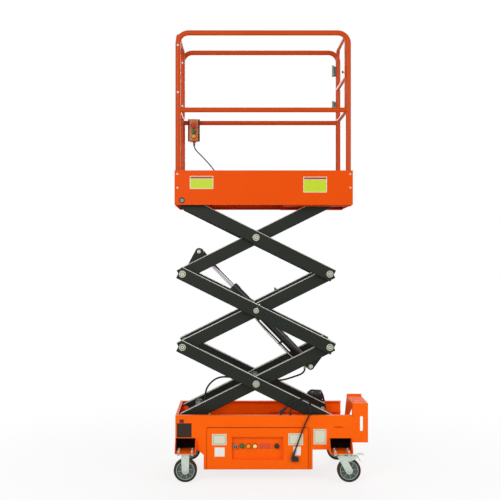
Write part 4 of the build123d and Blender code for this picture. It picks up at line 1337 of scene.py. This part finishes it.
# inlet's flange, screws and flap
inletFlange = block((130, -305, 127), (182, -302, 162), bevel=1)
dress(inletFlange, "inletFlange", "chassis", bracketPaint)
inletScrews = [domeScrew((x, -305, z), front, 2.6, 1.6) for x in (134, 178) for z in (131, 158)]
flap = stepFace(block((139, -326, 136), (173, -322, 153), bevel=1), front, [(3, 0, 0), (0.5, -1, 0)])
dress(joined(inletScrews), "inletScrews", "chassis", boltZinc)
dress(flap, "inletFlap", "chassis", blackNylon)
print("base plates, pockets and panel made")


# casters' rims, spokes, nuts and brake pads

wheelCentres = {"fixed": (-560.5, 76), "swivel": (508, 76)}
rimRing = {"radius": 58, "thickness": 6.5, "stand": 20}
for kind, (x, z) in wheelCentres.items():
    for sideName, side in sides.items():
        body = f"wheel_{kind}_{sideName}"
        y = side * caster["y"]
        # the lighter rim rings and spokes carry a painted highlight as well as their paint
        rims = [
            ring(
                (x, y + face * rimRing["stand"], z), (0, 1, 0), rimRing["radius"], rimRing["thickness"], 56
            )
            for face in (-1, 1)
        ]
        rims += [ring((x, y + face * 25, z), (0, 1, 0), 20, 4, 40) for face in (-1, 1)]
        for spoke in range(8):
            turn = math.radians(10 + 45 * spoke)
            reach = [(x + r * math.cos(turn), z + r * math.sin(turn)) for r in (23, 57)]
            for face in (-1, 1):
                rims.append(
                    bar(
                        (reach[0][0], y + face * 13, reach[0][1]),
                        (reach[1][0], y + face * 13, reach[1][1]),
                        2.6,
                        sides=10,
                    )
                )
        dress(joined(rims), f"rimRings_{kind}_{sideName}", body, rimPaintAndHighlight)
        fork = f"swivel_{sideName}" if kind == "swivel" else "chassis"
        nuts = [
            hexBolt((x, y + face * 36, z), (0, face, 0), across=17, height=6, washer=12.5, shank=5)
            for face in (-1, 1)
        ]
        dress(joined(nuts), f"axleNuts_{kind}_{sideName}", fork, boltZinc)
        if kind == "swivel":
            axis = caster["x"]["swivel"]
            race = ring((axis, y, 176), (0, 0, 1), 33, 5, 48)
            kingNut = hexBolt((axis, y, 164), down, across=22, height=9, washer=15, shank=4)
            rivets = [
                hexBolt(
                    (axis + 62, y + face * 30, 158), (0, face, 0), across=10, height=4, washer=6, shank=1
                )
                for face in (-1, 1)
            ]
            dress(
                joined([race, kingNut] + rivets), f"swivelFasteners_{sideName}", fork, boltZinc
            )
            pad = [block((axis + 112, y - 18.5, 177), (axis + 143, y + 18.5, 185), bevel=2)]
            for line in (-10, -3.5, 3.5, 10):
                low, high = (axis + 114, y + line - 1.2, 184), (axis + 141, y + line + 1.2, 186.5)
                pad.append(block(low, high, bevel=0.6))
            dress(joined(pad), f"brakePad_{sideName}", fork, zincPlate)
print("casters dressed")


# hydraulic cylinder's bands, pipe and coupling

footX, footZ = onArm(*cylinderPins["foot"]["spot"])
headX, headZ = onArm(*cylinderPins["head"]["spot"])
rodWay = Vector((headX - footX, 0, headZ - footZ)).normalized()
rodSide = Vector((-rodWay.z, 0, rodWay.x))  # towards the pipe


def onCylinder(along, across=0, y=0):
    return Vector((footX, y, footZ)) + rodWay * along + rodSide * across


coupling = {
    "across": 43,
    "hexagon": (496, 526),
    "hexagonRadius": 11,
    "sleeve": (486, 536),
    "sleeveRadius": 8.6,
    "nuts": (84, 648),
    "nutLength": 18,
}


def onPipe(ends, radius, sides):
    start, end = (onCylinder(along, coupling["across"]) for along in ends)
    return bar(start, end, radius, sides=sides, bevel=1)


brassPieces = [
    onPipe(coupling["hexagon"], coupling["hexagonRadius"], 6),
    onPipe(coupling["sleeve"], coupling["sleeveRadius"], 28),
]
dress(joined(brassPieces), "pipeCoupling", "cylinder", brass)
pipeNuts = [
    onPipe((low, low + coupling["nutLength"]), coupling["hexagonRadius"], 6) for low in coupling["nuts"]
]

bands = {
    "gland": (738, 747),
    "glandRadius": 30.5,
    "collar": (60, 68),
    "straps": (230, 450),
    "width": 16,
    "radius": 31,
}
glandRing = bar(
    onCylinder(bands["gland"][0]), onCylinder(bands["gland"][1]), bands["glandRadius"], sides=48
)
stepFace(glandRing, rodWay, [(2, 1.4, 0), (9, 0, 0), (0.6, -2, 0)])
collar = bar(
    onCylinder(bands["collar"][0]), onCylinder(bands["collar"][1]), bands["radius"], sides=48, bevel=1.5
)
straps = [
    bar(onCylinder(low), onCylinder(low + bands["width"]), bands["radius"], sides=48, bevel=1.2)
    for low in bands["straps"]
]
# each strap's stud holds the pipe off the barrel
for low in bands["straps"]:
    middle = low + bands["width"] / 2
    straps.append(bar(onCylinder(middle, 26), onCylinder(middle, 52), 9, sides=6, bevel=1))
dress(
    joined([glandRing, collar] + straps + pipeNuts),
    "cylinderBands",
    "cylinder",
    cylinderBlack,
)

returnPipe = {
    "radius": 3.6,
    "y": -9,
    "spots": [(511, 43), (490, 46), (400, 52), (285, 56), (161, 54), (112, 48), (96, 44)],
}
pipeRoute = [onCylinder(along, across, returnPipe["y"]) for along, across in returnPipe["spots"]]
pipe = thickened(routeCurve("returnPipe", pipeRoute), returnPipe["radius"], 4)
only(pipe)
bpy.ops.object.convert(target="MESH")
dress(bpy.context.object, "returnPipe", "cylinder", pinZinc)
print("cylinder dressed")


# cord fittings

inletBoot = bar((140, -312.9, 156), (157, -312.6, 204), 8.6, sides=32, tip=5.6)
ribs = [
    ring((146 + 7 * t, -312.8, 172 + 20 * t), (0.34, 0, 0.94), 7.6 - 1.1 * t, 2.2, 28, 8)
    for t in (0, 0.4, 0.8, 1.2)
]
dress(joined([inletBoot] + ribs), "inletBoot", "chassis", blackNylon)
lipRings = [ring((x, -281, 433), (0, 0, 1), 7.2, 3, 32, 8) for x in (128, 262)]
dress(joined(lipRings), "lipGrommetRings", "chassis", blackNylon)

plugAxis = Vector((-26, 0, -25)).normalized()
plugEnd = Vector((101, -285, 480)) + plugAxis * 60
collars = [
    bar(plugEnd - plugAxis * 30, plugEnd - plugAxis * 24, 13, sides=36, bevel=1.2),
    stepFace(
        bar(plugEnd - plugAxis * 8, plugEnd + plugAxis * 1, 13, sides=36),
        plugAxis,
        [(1, 0.8, 0), (2, 0, 0), (0.5, -2, 0)],
    ),
]
pegs = [ring(plugEnd - plugAxis * (44 + 5 * i), plugAxis, 7.4, 2.2, 28, 8) for i in range(3)]
dress(joined(collars + pegs), "plugCollars", "chassis", blackNylon)

# swaged ferrules at the hose's two ends
hoseFerrules = {
    "top": ((242, -62, 735), (242, -62, 706), "arm_1_inner"),
    "bottom": ((-413, -103, 397), (-414.5, -103, 410), "chassis"),
}
for name, (start, end, body) in hoseFerrules.items():
    ferrule = bar(start, end, 9, sides=32, bevel=1.2)
    nut = bar(start, Vector(start) + (Vector(end) - Vector(start)) * 0.35, 11, sides=6, bevel=1)
    dress(joined([ferrule, nut]), f"hoseFerrule_{name}", body, pinZinc)
cableCollar = ring((-215, 284.5, 1957), (0, 1, 0), 7, 4, 32, 8)
dress(cableCollar, "cableCollar", "platform", blackNylon)
print("cord fittings made")


# step and limit switch

switch = nodeBox("limit_switch")
switchLid = plate(
    [(296, 434), (298, 488), (318, 506), (384, 503), (396, 477), (406, 434)],
    front,
    switch[0].y + 0.5,
    4,
    bevel=1.5,
)
switchScrews = [
    domeScrew((x, switch[0].y - 3.5, z), front, 4.5, 3)
    for x, z in ((306, 443), (396, 443), (322, 497), (380, 495))
]
dress(switchLid, "switchLid", "chassis", cylinderBlack)
dress(joined(switchScrews), "switchScrews", "chassis", boltZinc)

step = nodeBox("boarding_step")
treads = []
for row in range(7):
    y = -262 + row * 38
    tread = block((step[0].x + 10, y, 509.5), (step[1].x - 10, y + 16, 511.6), bevel=0.8)
    treads.append(tread)
dress(joined(treads), "stepTreadBars", "chassis", baseOrange)
stepWeld = [
    bar((step[0].x - 0.5, -299.2, z), (step[0].x - 0.5, -299.2, z + 26), 2.6, sides=10)
    for z in (262, 320, 378)
]
dress(joined(stepWeld), "stepWelds", "chassis", baseOrange)
print("step and limit switch dressed")
